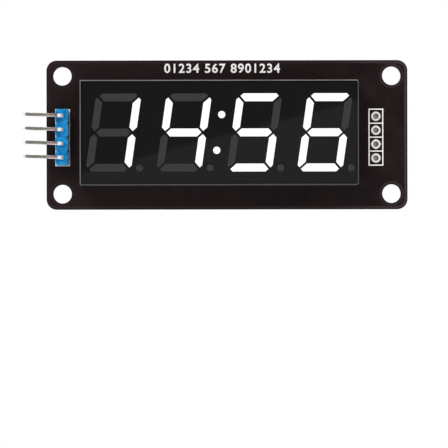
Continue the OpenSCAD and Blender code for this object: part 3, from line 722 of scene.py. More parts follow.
def solder_metal():
    """Solder, bright behind the board. Where it has sunk into a hole from the front it is rougher,
    and its colour is painted dark there as shade in the hole.
    """
    material = finish_of("solder", SOLDER_CLEAN[0], 0.22, metallic=1.0)
    patch = patches(SOLDER_GRAIN)
    sunk = below(axes_of(place_on())[1], -0.2)
    # Painted shade: solder sunk into a hole in front is painted dark.
    spread("Base Color", blend(sunk, blend(patch, *SOLDER_CLEAN), blend(patch, *SOLDER_SUNK_SHADED)))
    spread("Metallic", ramp(sunk, 0.7, 1, 0, 1))
    spread("Roughness", ramp(sunk, 0.24, 0.6, 0, 1))
    relief(grain(SOLDER_GRAIN / 3), 0.012)
    return material


solder_finish = solder_metal()
pad_finish = tin("tinned_copper", (0.90, 0.88, 0.85), (0.76, 0.73, 0.70), 0.4, 0.6, 0.5)
lead_finish = tin("lead_metal", (0.88, 0.86, 0.84), (0.72, 0.70, 0.68), 0.3, 0.5, 0.4)
cap_finish = tin("cap_metal", (0.90, 0.89, 0.86), (0.72, 0.70, 0.67), 0.32, 0.5, 0.25, metallic=0.6)
dress(pad_finish, "plated_holes")


# %% [markdown]
# The header's body is moulded in four cells, one for each pin, with a notch between cells on both
# sides where a strip of pins is snapped to length. Seen from the end a cell is a square with its
# corners cut. Such an outline can be written as one formula in the angle round its middle, with
# softened corners for free. Each cell is a ring: outside wall, rounded rim, top, square pin hole
# and back again, so the grid closes both ways.

# %% Outlines by formula
def outline_reach(angles, sides, sharpness):
    """Distance from the middle to a many-sided outline at each angle. A side is given by the
    direction it faces, in degrees, and its distance. With d the side's distance and t the angle
    between a point and the side's direction, the outline is where the sum over all sides of
    (reach * cos t / d) to the power of sharpness is one."""
    direction, distance = np.array(sides, float).T
    facing = np.cos(angles[:, None] - np.radians(direction)) / distance
    return (np.maximum(facing, 0) ** sharpness).sum(axis=1) ** (-1 / sharpness)


def ring_rows(angles, rows, middle):
    """Points of loops round a line along Y. Each row is (reach at each angle, depth y)."""
    reach = np.stack([np.broadcast_to(r, angles.shape) for r, _ in rows])
    depth = np.array([y for _, y in rows], float)[:, None]
    x = middle[0] + reach * np.cos(angles)
    z = middle[1] + reach * np.sin(angles)
    return np.stack([x, np.broadcast_to(depth, x.shape), z], axis=-1)


def square_reach(angles, side, sharpness=30):
    """A square outline with barely softened corners."""
    return outline_reach(angles, [(a, side / 2) for a in (0, 90, 180, 270)], sharpness)


# %% Header body
NOTCH = 0.3
PIN_SIDE = 0.64
RIM_ROUND = 0.06
HEADER_LEAN = 0.042
BLUE_SHADES = (0.001, 0.160, 0.47), (0.008, 0.370, 0.80)
header_low, header_high = corners("header_body")
header_pins_z = row_of(header_low[2], header_high[2], PIN_PITCH, 4)
header_x = (header_low[0] + header_high[0]) / 2


def leaned_header(points):
    """The header leans a little upwards, as one soldered by hand does: each point rises by a small
    share of its distance in front of the board."""
    points[..., 2] += HEADER_LEAN * np.maximum(board_low[1] - points[..., 1], 0)
    return points


def header_cell(z):
    """One cell of the header's body as a closed ring round its pin."""
    angles = around(96)
    half = (header_high[0] - header_low[0]) / 2
    cut = (half + PIN_PITCH / 2 - NOTCH) / np.sqrt(2)
    sides = [(0, half), (180, half), (90, PIN_PITCH / 2), (270, PIN_PITCH / 2)]
    wall = outline_reach(angles, sides + [(a, cut) for a in (45, 135, 225, 315)], 60)
    hole = square_reach(angles, PIN_SIDE)
    front, back = header_low[1], header_high[1]
    round_off = [(wall - RIM_ROUND * (1 - np.cos(a)), RIM_ROUND * (1 - np.sin(a)))
                 for a in np.radians([0, 30, 60, 90])]
    rows = ([(reach, back - depth) for reach, depth in round_off[::-1]]
            + [(reach, front + depth) for reach, depth in round_off]
            + [(hole + RIM_ROUND / 2, front), (hole, front + RIM_ROUND / 2), (hole, back)])
    return shape_from(leaned_header(ring_rows(angles, rows, (header_x, z))), rows_close=True)


def header_blue():
    """Bright blue moulded plastic with cloudy flow marks."""
    material = finish_of("header_blue", (0.010, 0.21, 0.44), 0.35, gloss=0.2)
    flow = patches(1.0, detail=5.0)
    spread("Base Color", blend(flow, *BLUE_SHADES))
    spread("Roughness", ramp(flow, 0.3, 0.45, 0, 1))
    relief(grain(0.35), 0.02)
    return material


make_piece("header_body_moulded", [header_cell(z) for z in header_pins_z], header_blue(),
           ["header_body"])


# %% [markdown]
# The header's pins are square wire, bent once through a right angle and pointed at both ends.
# A softened square carried along the pin's path gives that: at each point of the path the section
# stands square to it, and a scale that shrinks towards the ends makes the points. The same carrier
# later makes the chip's leads, the display's pins and the raised tracks on the board's back.

# %% Bars carried along a path
def softened_square(steps=24, power=10):
    """A loop of points on the outline |a| ** power + |b| ** power = 1."""
    turn = around(steps)
    a, b = np.cos(turn), np.sin(turn)
    return np.sign(a) * np.abs(a) ** (2 / power), np.sign(b) * np.abs(b) ** (2 / power)


def carried(path, sideways, width, height, scale, steps=24):
    """A bar along a path. The section has its width along the fixed direction sideways and its
    height along the cross product of the path's direction and that. Both ends shrink to a point
    in the plane of the last section, which closes them."""
    path = np.array(path, float)
    ahead = np.gradient(path, axis=0)
    ahead /= np.linalg.norm(ahead, axis=1)[:, None]
    up = np.cross(ahead, sideways)
    a, b = softened_square(steps)
    size = np.array(scale, float)[:, None, None]
    section = (a[:, None] * width / 2 * np.array(sideways, float)
               + b[:, None] * height / 2 * up[:, None, :])
    grid = path[:, None, :] + size * section
    return shape_from(np.concatenate([path[None, :1].repeat(steps, 1), grid,
                                      path[None, -1:].repeat(steps, 1)]))


def bend(middle, radius, start, stop, steps=8):
    """Points of an arc as (across, along) pairs, from one angle to another in degrees."""
    angles = np.radians(np.linspace(start, stop, steps))
    return [(middle[0] + radius * np.cos(a), middle[1] + radius * np.sin(a)) for a in angles]


# %% Header pins
TAPER = 0.6
TIP_SHARE = 0.3 / PIN_SIDE
BEND_R = 0.6
PIN_RISE = 0.04
PIN_CLEAN = (0.60, 0.50, 0.48), (0.33, 0.28, 0.25)
# Painted reflections: pale blue and dark greenish brown patches just before the bend.
PIN_REFLECTED = (0.50, 0.52, 0.54), (0.14, 0.13, 0.08)
# Painted dim reflection on the pins past the board's edge.
PIN_DIM_REFLECTION = (0.43, 0.42, 0.40), (0.20, 0.20, 0.15)
# The second colour is a painted highlight for the bend and the outer tips.
PIN_BEHIND, PIN_HIGHLIGHT = (0.9, 0.89, 0.87), (0.92, 0.95, 0.98)
pins_low, pins_high = corners("header_pins")
pin_level_y = pins_low[1] + PIN_SIDE / 2


def header_pin(z):
    """From the tip behind the board, through it, round the bend and out past the board's edge."""
    turned = bend((header_x - BEND_R, pin_level_y + BEND_R), BEND_R, 0, -90)
    flat = ([(header_x, pins_high[1]), (header_x, pins_high[1] - TAPER),
             (header_x, (pin_level_y + pins_high[1]) / 2)] + turned
            + [(pins_low[0] + TAPER, pin_level_y), (pins_low[0], pin_level_y)])
    scale = [TIP_SHARE] + [1] * (len(flat) - 2) + [TIP_SHARE]
    path = np.array([(x, y, z + PIN_RISE * (header_x - x)) for x, y in flat])
    return carried(leaned_header(path), (0, 0, 1), PIN_SIDE, PIN_SIDE, scale)


def pin_metal():
    """Tinned brass, pinkish over the board. Just before the bend it is painted in patches of pale blue
    and dark greenish brown, which are painted reflections, and past the board's edge it is painted
    darker as a dim painted reflection. The bend and the outer tips are painted pale and less metallic,
    which is a painted highlight."""
    material = finish_of("pin_metal", (0.6, 0.52, 0.49), 0.3, metallic=1.0)
    x, y, _ = axes_of(place_on())
    patch = patches(0.8, stretch=(0.6, 1, 2))
    clean, reflected_patch, dull = (blend(patch, *pair) for pair in (PIN_CLEAN, PIN_REFLECTED, PIN_DIM_REFLECTION))
    # Painted reflections just before the bend, and a painted dim reflection past the board's edge.
    clean = blend(ramp(x, 0, 1, header_x - 1.5, header_x - 1.1), clean, reflected_patch)
    tone_and_reflections = blend(ramp(x, 1, 0, board_low[0] - 0.3, board_low[0] + 0.3), clean, dull)
    tone_and_reflections = blend(times(above(y, 0), above(x, header_x + 1)), tone_and_reflections, PIN_BEHIND)
    bend_x = header_x - BEND_R
    # Painted highlight: the bend and the outer tips are painted pale and less metallic.
    bent = times(ramp(x, 0, 1, bend_x - 0.35, bend_x), below(y, header_low[1] + 0.2))
    painted_highlight = larger(bent, ramp(x, 0.8, 0, pins_low[0] + TAPER / 2, pins_low[0] + TAPER))
    spread("Base Color", blend(painted_highlight, tone_and_reflections, PIN_HIGHLIGHT))
    spread("Metallic", ramp(painted_highlight, 1, 0.2, 0, 1))
    spread("Roughness", ramp(patch, 0.26, 0.42, 0, 1))
    relief(grain(0.3), 0.008)
    return material


pin_finish = pin_metal()
make_piece("header_pins_bent", [header_pin(z) for z in header_pins_z], pin_finish,
           ["header_pins"])


# %% [markdown]
# The display's twelve pins are plainer: straight square wire, with the cut end just softened.

# %% Display pins
DISPLAY_PIN_SIDE = 0.5
PIN_BLUNT = 0.08
display_pins_low, display_pins_high = corners("display_pins")
display_pins_x = row_of(display_pins_low[0], display_pins_high[0], DISPLAY_PIN_SIDE, 6)
display_pins_z = row_of(display_pins_low[2], display_pins_high[2], DISPLAY_PIN_SIDE, 2)


def display_pin(x, z):
    """A straight pin from the inner circuit to just behind the board."""
    near, far = display_pins_low[1], display_pins_high[1]
    path = [(x, y, z) for y in (near, near + PIN_BLUNT, far - PIN_BLUNT, far)]
    return carried(path, (1, 0, 0), DISPLAY_PIN_SIDE, DISPLAY_PIN_SIDE, [0.7, 1, 1, 0.7])


make_piece("display_pins_drawn", [display_pin(x, z) for x in display_pins_x for z in display_pins_z],
           pin_finish, ["display_pins"])


# %% [markdown]
# Solder climbs a pin in a hollow cone, because the melt clings to both the pin and the pad, and its
# foot is never quite round. Each joint is a ring as the header's cells are: up the pin's sides,
# down the cone, along the pad, through the plated hole and back. The foot wanders by a few slow
# waves whose phases come from a seeded generator, so every joint differs and every run agrees.

# %% Solder joints
PAD_T = 0.05
DISPLAY_HOLE_D = 0.9
HEADER_HOLE_D = 1.0
waves = np.random.default_rng(7)


def wandering(angles, amount):
    """A factor near one that wanders round the turn in three slow waves."""
    phases = waves.uniform(0, 2 * np.pi, 3)
    sizes = waves.uniform(0.3, 1, 3) * amount
    return 1 + sum(s * np.cos(k * angles + p) for k, (s, p) in enumerate(zip(sizes, phases), 1)) / 3


def solder_cone(middle, foot_d, pin_side, hole_d, near, far):
    """A joint from the depth near, in front of the board, to the depth far behind it."""
    angles = around(40)
    pin = square_reach(angles, pin_side)
    foot = foot_d / 2 * np.minimum(wandering(angles, 0.10), 1)
    climb = np.linspace(0, 1, 9)
    lean = wandering(angles, 0.25)
    collar = pin_side * 0.74
    flank = [(collar + (foot - collar) * (1 - t) ** (1.5 * lean), PAD_T + (far - PAD_T) * t ** 0.9)
             for t in climb]
    hole = hole_d / 2
    rows = [(pin, near), (hole, near), (hole, PAD_T)] + flank + [(pin, far)]
    return shape_from(ring_rows(angles, rows, middle), rows_close=True)


joints_low, joints_high = corners("display_solder")
DISPLAY_FOOT = joints_high[0] - display_pins_x[-1]
make_piece("display_solder_joints", [
    solder_cone((x, z), 2 * DISPLAY_FOOT, DISPLAY_PIN_SIDE, DISPLAY_HOLE_D, joints_low[1], joints_high[1])
    for x in display_pins_x for z in display_pins_z], solder_finish, ["display_solder"])

joints_low, joints_high = corners("header_solder")
HEADER_FOOT = joints_high[0] - joints_low[0]
make_piece("header_solder_joints", [
    solder_cone((header_x, z), HEADER_FOOT, PIN_SIDE, HEADER_HOLE_D, joints_low[1], joints_high[1])
    for z in header_pins_z], solder_finish, ["header_solder"])


# %% [markdown]
# The four spare holes are filled with solder and hold no pin. In front the solder sinks into the
# hole as a shallow bowl, behind it swells into a dome. That is a lathe profile from the axis to the
# axis, so its first and last rows are single points.

# %% Spare pads
spare_low, spare_high = corners("spare_pad_solder")
spare_x = (spare_low[0] + spare_high[0]) / 2
SPARE_DIP = 0.25


def solder_fill(z):
    """Bowl in front, barrel through the board, dome behind."""
    angles = around(40)
    hole, foot = HEADER_HOLE_D / 2, (spare_high[0] - spare_low[0]) / 2
    share = np.linspace(0, 1, 7)
    front, back = board_low[1], spare_high[1]
    bowl = [(hole * s, front + SPARE_DIP * (1 - s ** 2)) for s in share]
    rise = np.radians(np.linspace(0, 90, 8))
    swell = wandering(angles, 0.08)
    dome = [(foot * np.cos(a) * np.minimum(swell, 1), PAD_T + (back - PAD_T) * np.sin(a)) for a in rise]
    return shape_from(ring_rows(angles, bowl + [(hole, PAD_T)] + dome, (spare_x, z)))


make_piece("spare_hole_solder", [solder_fill(z) for z in header_pins_z], solder_finish,
           ["spare_pad_solder"])


# %% [markdown]
# Blocks with rounded edges are the bodies of the chip and of the small parts. Each starts as the
# six grids of a plain block. Every point is first pulled in to the nearest place of a smaller
# block, radius inside the faces, and then pushed out again by the radius along the same line, so
# that edges become quarter rounds and corners eighths of a ball.

# %% Rounded blocks
def edge_lines(half, radius, cell):
    """Places of the grid lines along one axis: even over the flat, closer over both rounds, where
    tangents of equal angles make equal steps along the arc."""
    flat = half - radius
    steps = max(1, int(round(2 * flat / cell)))
    outer = flat + radius * np.tan(np.radians([22.5, 45]))
    return np.concatenate([-outer[::-1], np.linspace(-flat, flat, steps + 1), outer])


def rounded_block(low, high, radius, cell):
    """Points and faces of a block between two corners with rounded edges."""
    half, middle = (high - low) / 2, (high + low) / 2
    lines = [edge_lines(h, radius, cell) for h in half]
    shapes = []
    for axis in range(3):
        one, two = [k for k in range(3) if k != axis]
        for side in (-1, 1):
            first, second = np.meshgrid(lines[one], lines[two], indexing="ij")
            points = np.empty((*first.shape, 3))
            points[..., one], points[..., two], points[..., axis] = first, second, side * half[axis]
            core = np.clip(points, radius - half, half - radius)
            out = points - core
            points = core + radius * out / np.linalg.norm(out, axis=-1)[..., None]
            faces = grid_faces(*first.shape, False, False)
            a, b, c = (points.reshape(-1, 3)[faces[:1, k]] for k in range(3))
            outward = np.cross(b - a, c - a)[0, axis] * side > 0
            shapes.append((points.reshape(-1, 3) + middle, faces if outward else faces[:, ::-1]))
    return joined(shapes)


# %% [markdown]
# The driver chip is moulded in matt black epoxy, in two halves that draw in from the parting line
# so that they leave the mould. A round dimple in one corner marks its first lead. Both are moved
# into the block's points by formula: the draft pulls each point in by its distance from the parting
# line, and the dimple sinks the points near its middle.

# %% Driver chip body
chip_low, chip_high = corners("driver_chip_body")
CHIP_DRAFT = 0.18
DIMPLE_PLACE = (chip_high[0] - 1.1, chip_low[2] + 1.42)
DIMPLE_R = 0.43
DIMPLE_DEPTH = 0.12
PRINT_T = 0.012
EPOXY_SHADES = (0.013, 0.0082, 0.0064), (0.021, 0.0138, 0.0110)
# Painted reflection: the dark colour of the polished dimple.
DIMPLE_DARK_REFLECTION = (0.001, 0.001, 0.001)


def chip_shape():
    """A rounded block with draft and dimple."""
    top = np.array(chip_high) - [0, PRINT_T, 0]
    points, faces = rounded_block(np.array(chip_low), top, 0.07, 0.13)
    middle = (chip_low + top) / 2
    share = np.abs(points[:, 1] - middle[1]) / (top[1] - middle[1])
    for axis in (0, 2):
        half = (top - middle)[axis]
        points[:, axis] = middle[axis] + (points[:, axis] - middle[axis]) * (1 - CHIP_DRAFT / half * share)
    away = np.hypot(points[:, 0] - DIMPLE_PLACE[0], points[:, 2] - DIMPLE_PLACE[1]) / DIMPLE_R
    sink = np.clip((1 - away) / 0.35, 0, 1)
    points[:, 1] -= DIMPLE_DEPTH * (3 - 2 * sink) * sink ** 2 * (share > 0.9) * (points[:, 1] > middle[1])
    return points, faces


def chip_epoxy():
    """Matt black moulding compound, full of fine glass, and a polished dimple whose colour is
    painted black as a dark reflection.
    """
    material = finish_of("chip_epoxy", (0.016, 0.0105, 0.008), 0.62, gloss=0.12)
    speck = grain(0.05, detail=2.0)
    x, y, z = axes_of(place_on())
    away = length_of(*[minus(v, middle) for v, middle in zip((x, z), DIMPLE_PLACE)])
    dimple = times(below(away, DIMPLE_R * 0.9), above(y, chip_low[1] + 1))
    # Painted reflection: the dimple is painted black.
    spread("Base Color", blend(dimple, blend(ramp(speck, 0, 1), *EPOXY_SHADES), DIMPLE_DARK_REFLECTION))
    relief(speck, 0.01)
    return material


make_piece("driver_chip_moulded", [chip_shape()], chip_epoxy(), ["driver_chip_body"])


# %% [markdown]
# Twenty leads leave the chip's long sides at half its height, bend down, and bend out again to
# stand on the board, like a gull's wings. Their path is two arcs joined by a steep straight run.

# %% Driver chip leads
LEAD_W, LEAD_T, LEAD_BEND_R = 0.42, 0.25, 0.25
LEAD_SLOPE = 80
LEAD_SHOULDER = 0.14
LEAD_ROOT = 0.6
leads_low, leads_high = corners("driver_chip_leads")
lead_x = row_of(leads_low[0], leads_high[0], LEAD_W, 10)
chip_z = (leads_low[2] + leads_high[2]) / 2
chip_half_w = (chip_high[2] - chip_low[2]) / 2


def lead_path():
    """(out from the chip's middle, height) along one lead, from inside the body to its tip."""
    high = (chip_low[1] + chip_high[1]) / 2
    foot = leads_low[1] + LEAD_T / 2
    slope = np.radians(LEAD_SLOPE)
    fall = (high - foot - 2 * LEAD_BEND_R * (1 - np.cos(slope))) / np.sin(slope)
    first = chip_half_w + LEAD_SHOULDER
    second = first + 2 * LEAD_BEND_R * np.sin(slope) + fall * np.cos(slope)
    tip = leads_high[2] - chip_z
    root = (first - LEAD_SHOULDER - LEAD_ROOT, high)
    down = bend((first, high - LEAD_BEND_R), LEAD_BEND_R, 90, 90 - LEAD_SLOPE, 6)
    out = bend((second, foot + LEAD_BEND_R), LEAD_BEND_R, 270 - LEAD_SLOPE, 270, 6)
    return [root, (root[0] + 0.05, high)] + down + out + [(tip - 0.05, foot), (tip, foot)]


def chip_lead(x, side):
    """One lead, on the side of the chip that side says."""
    path = [(x, high, chip_z + side * out) for out, high in lead_path()]
    return carried(path, (1, 0, 0), LEAD_W, LEAD_T, [0.8] + [1] * (len(path) - 2) + [0.8])


make_piece("driver_chip_gull_leads", [chip_lead(x, side) for x in lead_x for side in (-1, 1)],
           lead_finish, ["driver_chip_leads"])


# %% [markdown]
# Under each lead's foot, and at both ends of each small part, solder lies in a low mound. A mound
# is a row of arches: each arch has a width and a height, and the row follows the mound's length.
# Where the first and last arch have no size, the mound runs out to a point.

# %% Solder mounds
def mound(start, direction, lengths, widths, heights, middle_x, base_y):
    """Arches along Z from start. An arch is half a softened circle: its points are at width times
    the cosine and height times the root of the sine."""
    turn = np.linspace(0, np.pi, 13)
    widths, heights = np.array(widths, float)[:, None], np.array(heights, float)[:, None]
    x = middle_x + widths / 2 * np.cos(turn)
    y = base_y + heights * np.sqrt(np.sin(turn))
    z = np.broadcast_to(start + direction * np.array(lengths, float)[:, None], x.shape)
    return shape_from(np.stack([x, y, z], axis=-1))


# %% Chip solder
lead_solder_low, lead_solder_high = corners("driver_chip_solder")
LEAD_SOLDER_L, LEAD_SOLDER_W = 1.9, 0.78


def lead_mound(x, side):
    """Slim at the heel, full and round at the toe."""
    share = np.linspace(0, 1, 13)
    full = np.sqrt(1 - np.clip((share - 0.78) / 0.22, 0, 1) ** 2)
    heel = np.sqrt(np.clip(share / 0.12, 0, 1))
    width = LEAD_SOLDER_W * heel * full * (0.74 + 0.26 * np.clip(share / 0.7, 0, 1)) * waves.uniform(0.94, 1)
    height = (lead_solder_high[1] - lead_solder_low[1]) * heel * full * waves.uniform(0.9, 1)
    toe = lead_solder_high[2] - chip_z
    return mound(chip_z + side * (toe - LEAD_SOLDER_L), side, share * LEAD_SOLDER_L, width, height,
                 x, lead_solder_low[1])


make_piece("driver_chip_solder_mounds", [lead_mound(x, side) for x in lead_x for side in (-1, 1)],
           solder_finish, ["driver_chip_solder"])


# %% [markdown]
# The small parts behind the board are three resistors, four capacitors and the power light. All
# are 1.6 by 0.8 mm blocks with metal caps on both ends. A resistor is a white ceramic slip with a
# dark grey glaze on top and a plain nought printed on it; a capacitor is one lump of brownish ceramic
# that differs in shade from part to part; the light is a white base under a clear lens.

# %% Places of the small parts
PART_W, PART_L, CAP_L = 0.8, 1.6, 0.3
BODY_INSET = 0.015
PART_COLUMNS = (-10.68, -2.055)
PART_ROWS = (5.05, -3.55)
RESISTORS = [(2, 0), (2, 1), (3, 1)]
CAPACITORS = [(0, 0), (1, 0), (2, 2), (3, 2)]
POWER_LIGHT = [(3, 0)]
RESISTOR_H, CAPACITOR_H, LIGHT_BASE_H = 0.45, 0.8, 0.3
PARTS = [(part, height, climb * height) for parts, height, climb in (
    (RESISTORS, RESISTOR_H, 0.8), (CAPACITORS, CAPACITOR_H, 0.6), (POWER_LIGHT, LIGHT_BASE_H, 0.8))
    for part in parts]


def part_middle(part):
    """Middle of the part in a column and row."""
    column, row = part
    return PART_COLUMNS[0] + column * PART_COLUMNS[1], PART_ROWS[0] + row * PART_ROWS[1]


def part_block(part, height):
    """The ceramic between the caps."""
    x, z = part_middle(part)
    half = np.array([PART_W / 2 - BODY_INSET, 0, PART_L / 2 - CAP_L])
    low = np.array([x, PAD_T + BODY_INSET, z]) - half
    high = np.array([x, PAD_T + height - BODY_INSET, z]) + half
    return rounded_block(low, high, 0.04, 0.2)


def part_caps(part, height):
    """Both metal caps of one part."""
    x, z = part_middle(part)
    shapes = []
    for side in (-1, 1):
        near, far = sorted((z + side * (PART_L / 2 - CAP_L), z + side * PART_L / 2))
        shapes.append(rounded_block(np.array([x - PART_W / 2, PAD_T, near]),
                                    np.array([x + PART_W / 2, PAD_T + height, far]), 0.07, 0.2))
    return shapes


make_piece("part_end_caps", sum((part_caps(part, height) for part, height, _ in PARTS), []),
           cap_finish, ["chip_end_caps"])


# %% Resistors and capacitors
SLIP_WHITE = (0.55, 0.54, 0.52)
GLAZE_SHADES = (0.110, 0.108, 0.100), (0.190, 0.187, 0.170)
CAPACITOR_SHADES = [(0.27, 0.235, 0.21), (0.36, 0.285, 0.245), (0.52, 0.45, 0.42), (0.54, 0.50, 0.38)]
SPECKLE = (0.20, 0.15, 0.13)


def resistor_glaze():
    """White ceramic sides under a dark glaze."""
    material = finish_of("resistor_glaze", (0.03, 0.03, 0.03), 0.3)
    height = axes_of(place_on())[1]
    top = ramp(height, 0, 1, PAD_T + 0.72 * RESISTOR_H, PAD_T + 0.78 * RESISTOR_H)
    spread("Base Color", blend(top, SLIP_WHITE, blend(patches(0.3), *GLAZE_SHADES)))
    relief(grain(0.15), 0.01)
    return material



def capacitor_ceramic():
    """Ceramic of four shades: grey, pinkish brown, pinkish grey and beige from part to part."""
    material = finish_of("capacitor_ceramic", (0.36, 0.28, 0.24), 0.45, gloss=0.3)
    x = axes_of(place_on())[0]
    base = CAPACITOR_SHADES[0]
    for column_number, shade in enumerate(CAPACITOR_SHADES[1:], 1):
        edge_x = PART_COLUMNS[0] + (column_number - 0.5) * PART_COLUMNS[1]
        base = blend(below(x, edge_x), base, shade)
    spread("Base Color", blend(ramp(grain(0.12), 0, 0.3), base, SPECKLE))
    relief(grain(0.1), 0.008)
    return material


make_piece("resistor_bodies", [part_block(p, RESISTOR_H) for p in RESISTORS], resistor_glaze(),
           ["chip_resistors"])
make_piece("capacitor_bodies", [part_block(p, CAPACITOR_H) for p in CAPACITORS],
           capacitor_ceramic(), ["chip_capacitors"])


# %% Power light
def clear_lens():
    """Clear resin with a faint green tint."""
    material = mottled("light_lens", (0.93, 0.95, 0.91), (0.82, 0.85, 0.78), 0.12, 0.3)
    spread("Transmission Weight", 0.25)
    spread("IOR", 1.5)
    return material


light_base = mottled("light_base", (0.82, 0.82, 0.76), (0.70, 0.70, 0.63), 0.5, 0.15, bump=(0.1, 0.006))
lens_low, lens_high = corners("power_light_lens")
make_piece("power_light_body", [part_block(POWER_LIGHT[0], LIGHT_BASE_H)], light_base,
           ["power_light_base"])
make_piece("power_light_dome", [rounded_block(lens_low, lens_high, 0.1, 0.15)], clear_lens(),
           ["power_light_lens"])


# %% Solder of the small parts
PAD_TOE, PAD_LAP, PAD_W = 0.5, 0.34, 1.08


def end_solder(part, climb):
    """At both ends: a low pad under the cap, and a hollow slope from the cap down to the pad."""
    x, z = part_middle(part)
    shapes = []
    for side in (-1, 1):
        share = np.linspace(0, 1, 9)
        drop = (1 - share) ** 1.8
        full = np.sqrt(1 - np.clip((share - 0.7) / 0.3, 0, 1) ** 2)
        width = (PART_W + (PAD_W - PART_W) * np.clip(share * 2.5, 0, 1)) * waves.uniform(0.96, 1) * full
        heights = np.r_[0, climb * drop + 0.04 * full]
        lengths = np.r_[0, share * PAD_TOE]
        shapes.append(mound(z + side * PART_L / 2, side, lengths, np.r_[0, width], heights, x, PAD_T))
        lap = np.array([0, 0, PAD_LAP, PAD_LAP])
        shapes.append(mound(z + side * (PART_L / 2 - PAD_LAP), side, np.r_[lap + [0, 0, PAD_TOE, PAD_TOE]],
                            [0, PAD_W, PAD_W, 0], [0, PAD_T, PAD_T, 0], x, 0.0))
    return shapes


make_piece("part_solder_slopes", sum((end_solder(part, climb) for part, _, climb in PARTS), []),
           solder_finish, ["chip_solder"])


# %% [markdown]
# Print comes last, and it is plain numbers only: a line of digits along the top edge on both sides,
# 1 to 4 beside the pins, 1 to 5 beside the legend squares, two faint lines on the chip and a nought
# on each resistor. Ink spreads as it is pressed on, so the board's digits get bolder strokes. Text
# objects are made meshes first, and only then measured, sized to the wanted height, and laid on
# the board by moving their points.

# %% Digits as closed meshes
def text_mesh(words, spacing):
    """A line of digits as a mesh with a wall all round, its doubled points merged."""
    text = bpy.data.curves.new("draft", "FONT")
    text.body = words
    text.space_character = spacing
    text.extrude = 0.5
    draft = bpy.data.objects.new("draft", text)
    bpy.context.scene.collection.objects.link(draft)
    bpy.context.view_layer.update()
    mesh = bpy.data.meshes.new_from_object(draft.evaluated_get(bpy.context.evaluated_depsgraph_get()))
    bpy.data.objects.remove(draft)
    welded = bmesh.new()
    welded.from_mesh(mesh)
    bmesh.ops.remove_doubles(welded, verts=welded.verts, dist=1e-5)
    welded.to_mesh(mesh)
    welded.free()
    mesh.shade_flat()
    return mesh


def column(items, key, width, kind=float):
    """One property of all points, corners or faces of a mesh as an array with width columns."""
    values = np.empty(len(items) * width, kind)
    items.foreach_get(key, values)
    return values.reshape(-1, width) if width > 1 else values


def bolder(mesh, points, weight):
    """Pushes each outline point outwards, which makes the strokes bolder. With n and m the directions
    of the two walls that meet at a point, the way is twice (n + m) over its length squared, times
    the weight, so that both walls move out by the weight."""
    facing = column(mesh.polygons, "normal", 3)
    facing = np.repeat(facing, column(mesh.polygons, "loop_total", 1, int), axis=0)
    wall = np.abs(facing[:, 2]) < 0.5
    both = np.zeros((len(points), 2))
    np.add.at(both, column(mesh.loops, "vertex_index", 1, int)[wall], facing[wall, :2])
    points[:, :2] += weight * 2 * both / np.maximum((both ** 2).sum(axis=1), 1)[:, None]


def number_points(words, height, weight, spacing):
    """Points of a line of digits: across, up and thickness, with digits as tall as height."""
    mesh = text_mesh(words, spacing)
    points = column(mesh.vertices, "co", 3)
    bolder(mesh, points, weight)
    low, high = points.min(axis=0), points.max(axis=0)
    points[:, :2] = (points[:, :2] - (low[:2] + high[:2]) / 2) * height / (high[1] - low[1])
    return mesh, points


# %% Printed numbers
INK_T = 0.03


def print_numbers(name, lines, height, surface_y=0.0, behind=True, finish=ink_finish,
                  weight=0.012, thick=INK_T, spacing=1.0):
    """Lines of digits on one face. A line is (words, x, z, side), where side moves the line's
    middle by half its length: 0 centres it, 1 starts it at x, -1 ends it there. Seen from behind,
    left and right change places, so x and the digits turn round together."""
    turn = -1 if behind else 1
    made = []
    for words, x, z, side in lines:
        mesh, points = number_points(words, height, weight, spacing)
        half = np.ptp(points[:, 0]) / 2
        places = np.stack([x + turn * (points[:, 0] + side * half),
                           surface_y - turn * thick * (points[:, 2] + 0.5), z + points[:, 1]], axis=-1)
        mesh.vertices.foreach_set("co", (places * MM).ravel())
        made.append(bpy.data.objects.new(name, mesh))
        bpy.context.scene.collection.objects.link(made[-1])
    if len(made) > 1:
        with bpy.context.temp_override(active_object=made[0], selected_editable_objects=made):
            bpy.ops.object.join()
    made[0].name = name
    made[0].data.materials.clear()
    settle(made[0], finish)


LABEL_ROWS = list(zip("4321", header_pins_z))
TITLE_WORDS = "01234 567 8901234"
TITLE_WEIGHT = 0.022
print_numbers("front_title_numbers", [(TITLE_WORDS, -0.87, 12.15, 0)], 1.75, board_low[1], False,
              weight=TITLE_WEIGHT, spacing=1.14)
print_numbers("back_title_numbers", [(TITLE_WORDS, -1.05, 12.0, 0)], 1.65,
              weight=TITLE_WEIGHT, spacing=1.2)
print_numbers("back_pin_numbers", [(number, x, z, side) for x, side in ((-28.0, -1), (25.2, 1))
                                   for number, z in LABEL_ROWS], 1.1)


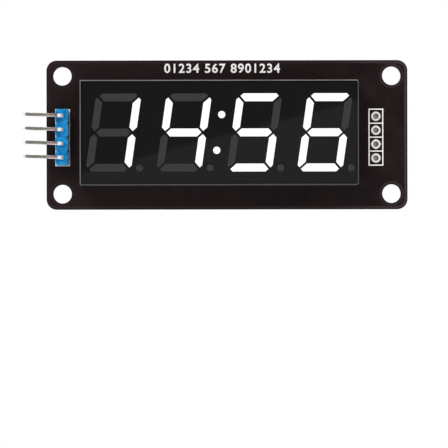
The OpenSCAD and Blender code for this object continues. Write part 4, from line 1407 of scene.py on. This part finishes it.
# %% Small marks
LEGEND_ROWS = [(str(5 - i), 17.1, -0.35 + (i - 2) * 1.5, 1) for i in range(5)]
CHIP_LINES = [("chip_marking_large", "0123456", 0.75, 1.32),
              ("chip_marking_small", "0123456789012", -0.87, 0.68)]
print_numbers("back_legend_numbers", LEGEND_ROWS, 0.9)
chip_mark = mottled("chip_mark", (0.075, 0.062, 0.045), (0.045, 0.036, 0.028), 0.7, 0.1, gloss=0.3)
for name, words, z, height in CHIP_LINES:
    print_numbers(name, [(words, -2.6, z, 0)], height, chip_high[1] - PRINT_T, finish=chip_mark,
                  weight=0.0, thick=PRINT_T * 0.9, spacing=1.12)
resistor_mark = mottled("resistor_mark", (0.42, 0.41, 0.39), (0.34, 0.33, 0.31), 0.7, 0.1, gloss=0.3)
print_numbers("resistor_marks", [("0", *part_middle(part), 0) for part in RESISTORS], 0.5,
              PAD_T + RESISTOR_H - 0.02, finish=resistor_mark, thick=0.015)


# %% [markdown]
# Behind the board, above the chip, two copper tracks and a short stub run over the top row of joints
# and down again. They lie under the mask and show as low ridges, so they are flat bars carried
# along a bent path, in the mask's own finish, which is thin and a little paler on a ridge.

# %% Tracks
TRACK_W, TRACK_H = 0.3, 0.03
CUT = 0.1
TRACKS = [
    [(7.6, 8.1), (5.4, 10.4), (-3.8, 10.4), (-6.5, 8.5)],
    [(5.0, 9.2), (4.6, 9.6)],
    [(1.95, 9.0), (1.1, 10.0), (-3.5, 10.0), (-5.1, 8.5)],
]


def track(turns):
    """A flat bar along a bent path. Each corner is cut a tenth of the way along both its sides."""
    turns = np.array(turns, float)
    start, stop = turns[:-1], turns[1:]
    cuts = np.stack([start * (1 - CUT) + stop * CUT, start * CUT + stop * (1 - CUT)], axis=1)
    cut = np.concatenate([turns[:1], cuts.reshape(-1, 2), turns[-1:]])
    path = np.stack([cut[:, 0], np.full(len(cut), TRACK_H / 4), cut[:, 1]], axis=-1)
    return carried(path, (0, 1, 0), TRACK_H * 1.5, TRACK_W, np.ones(len(path)), steps=16)


make_piece("back_tracks", [track(turns) for turns in TRACKS], mask_finish)
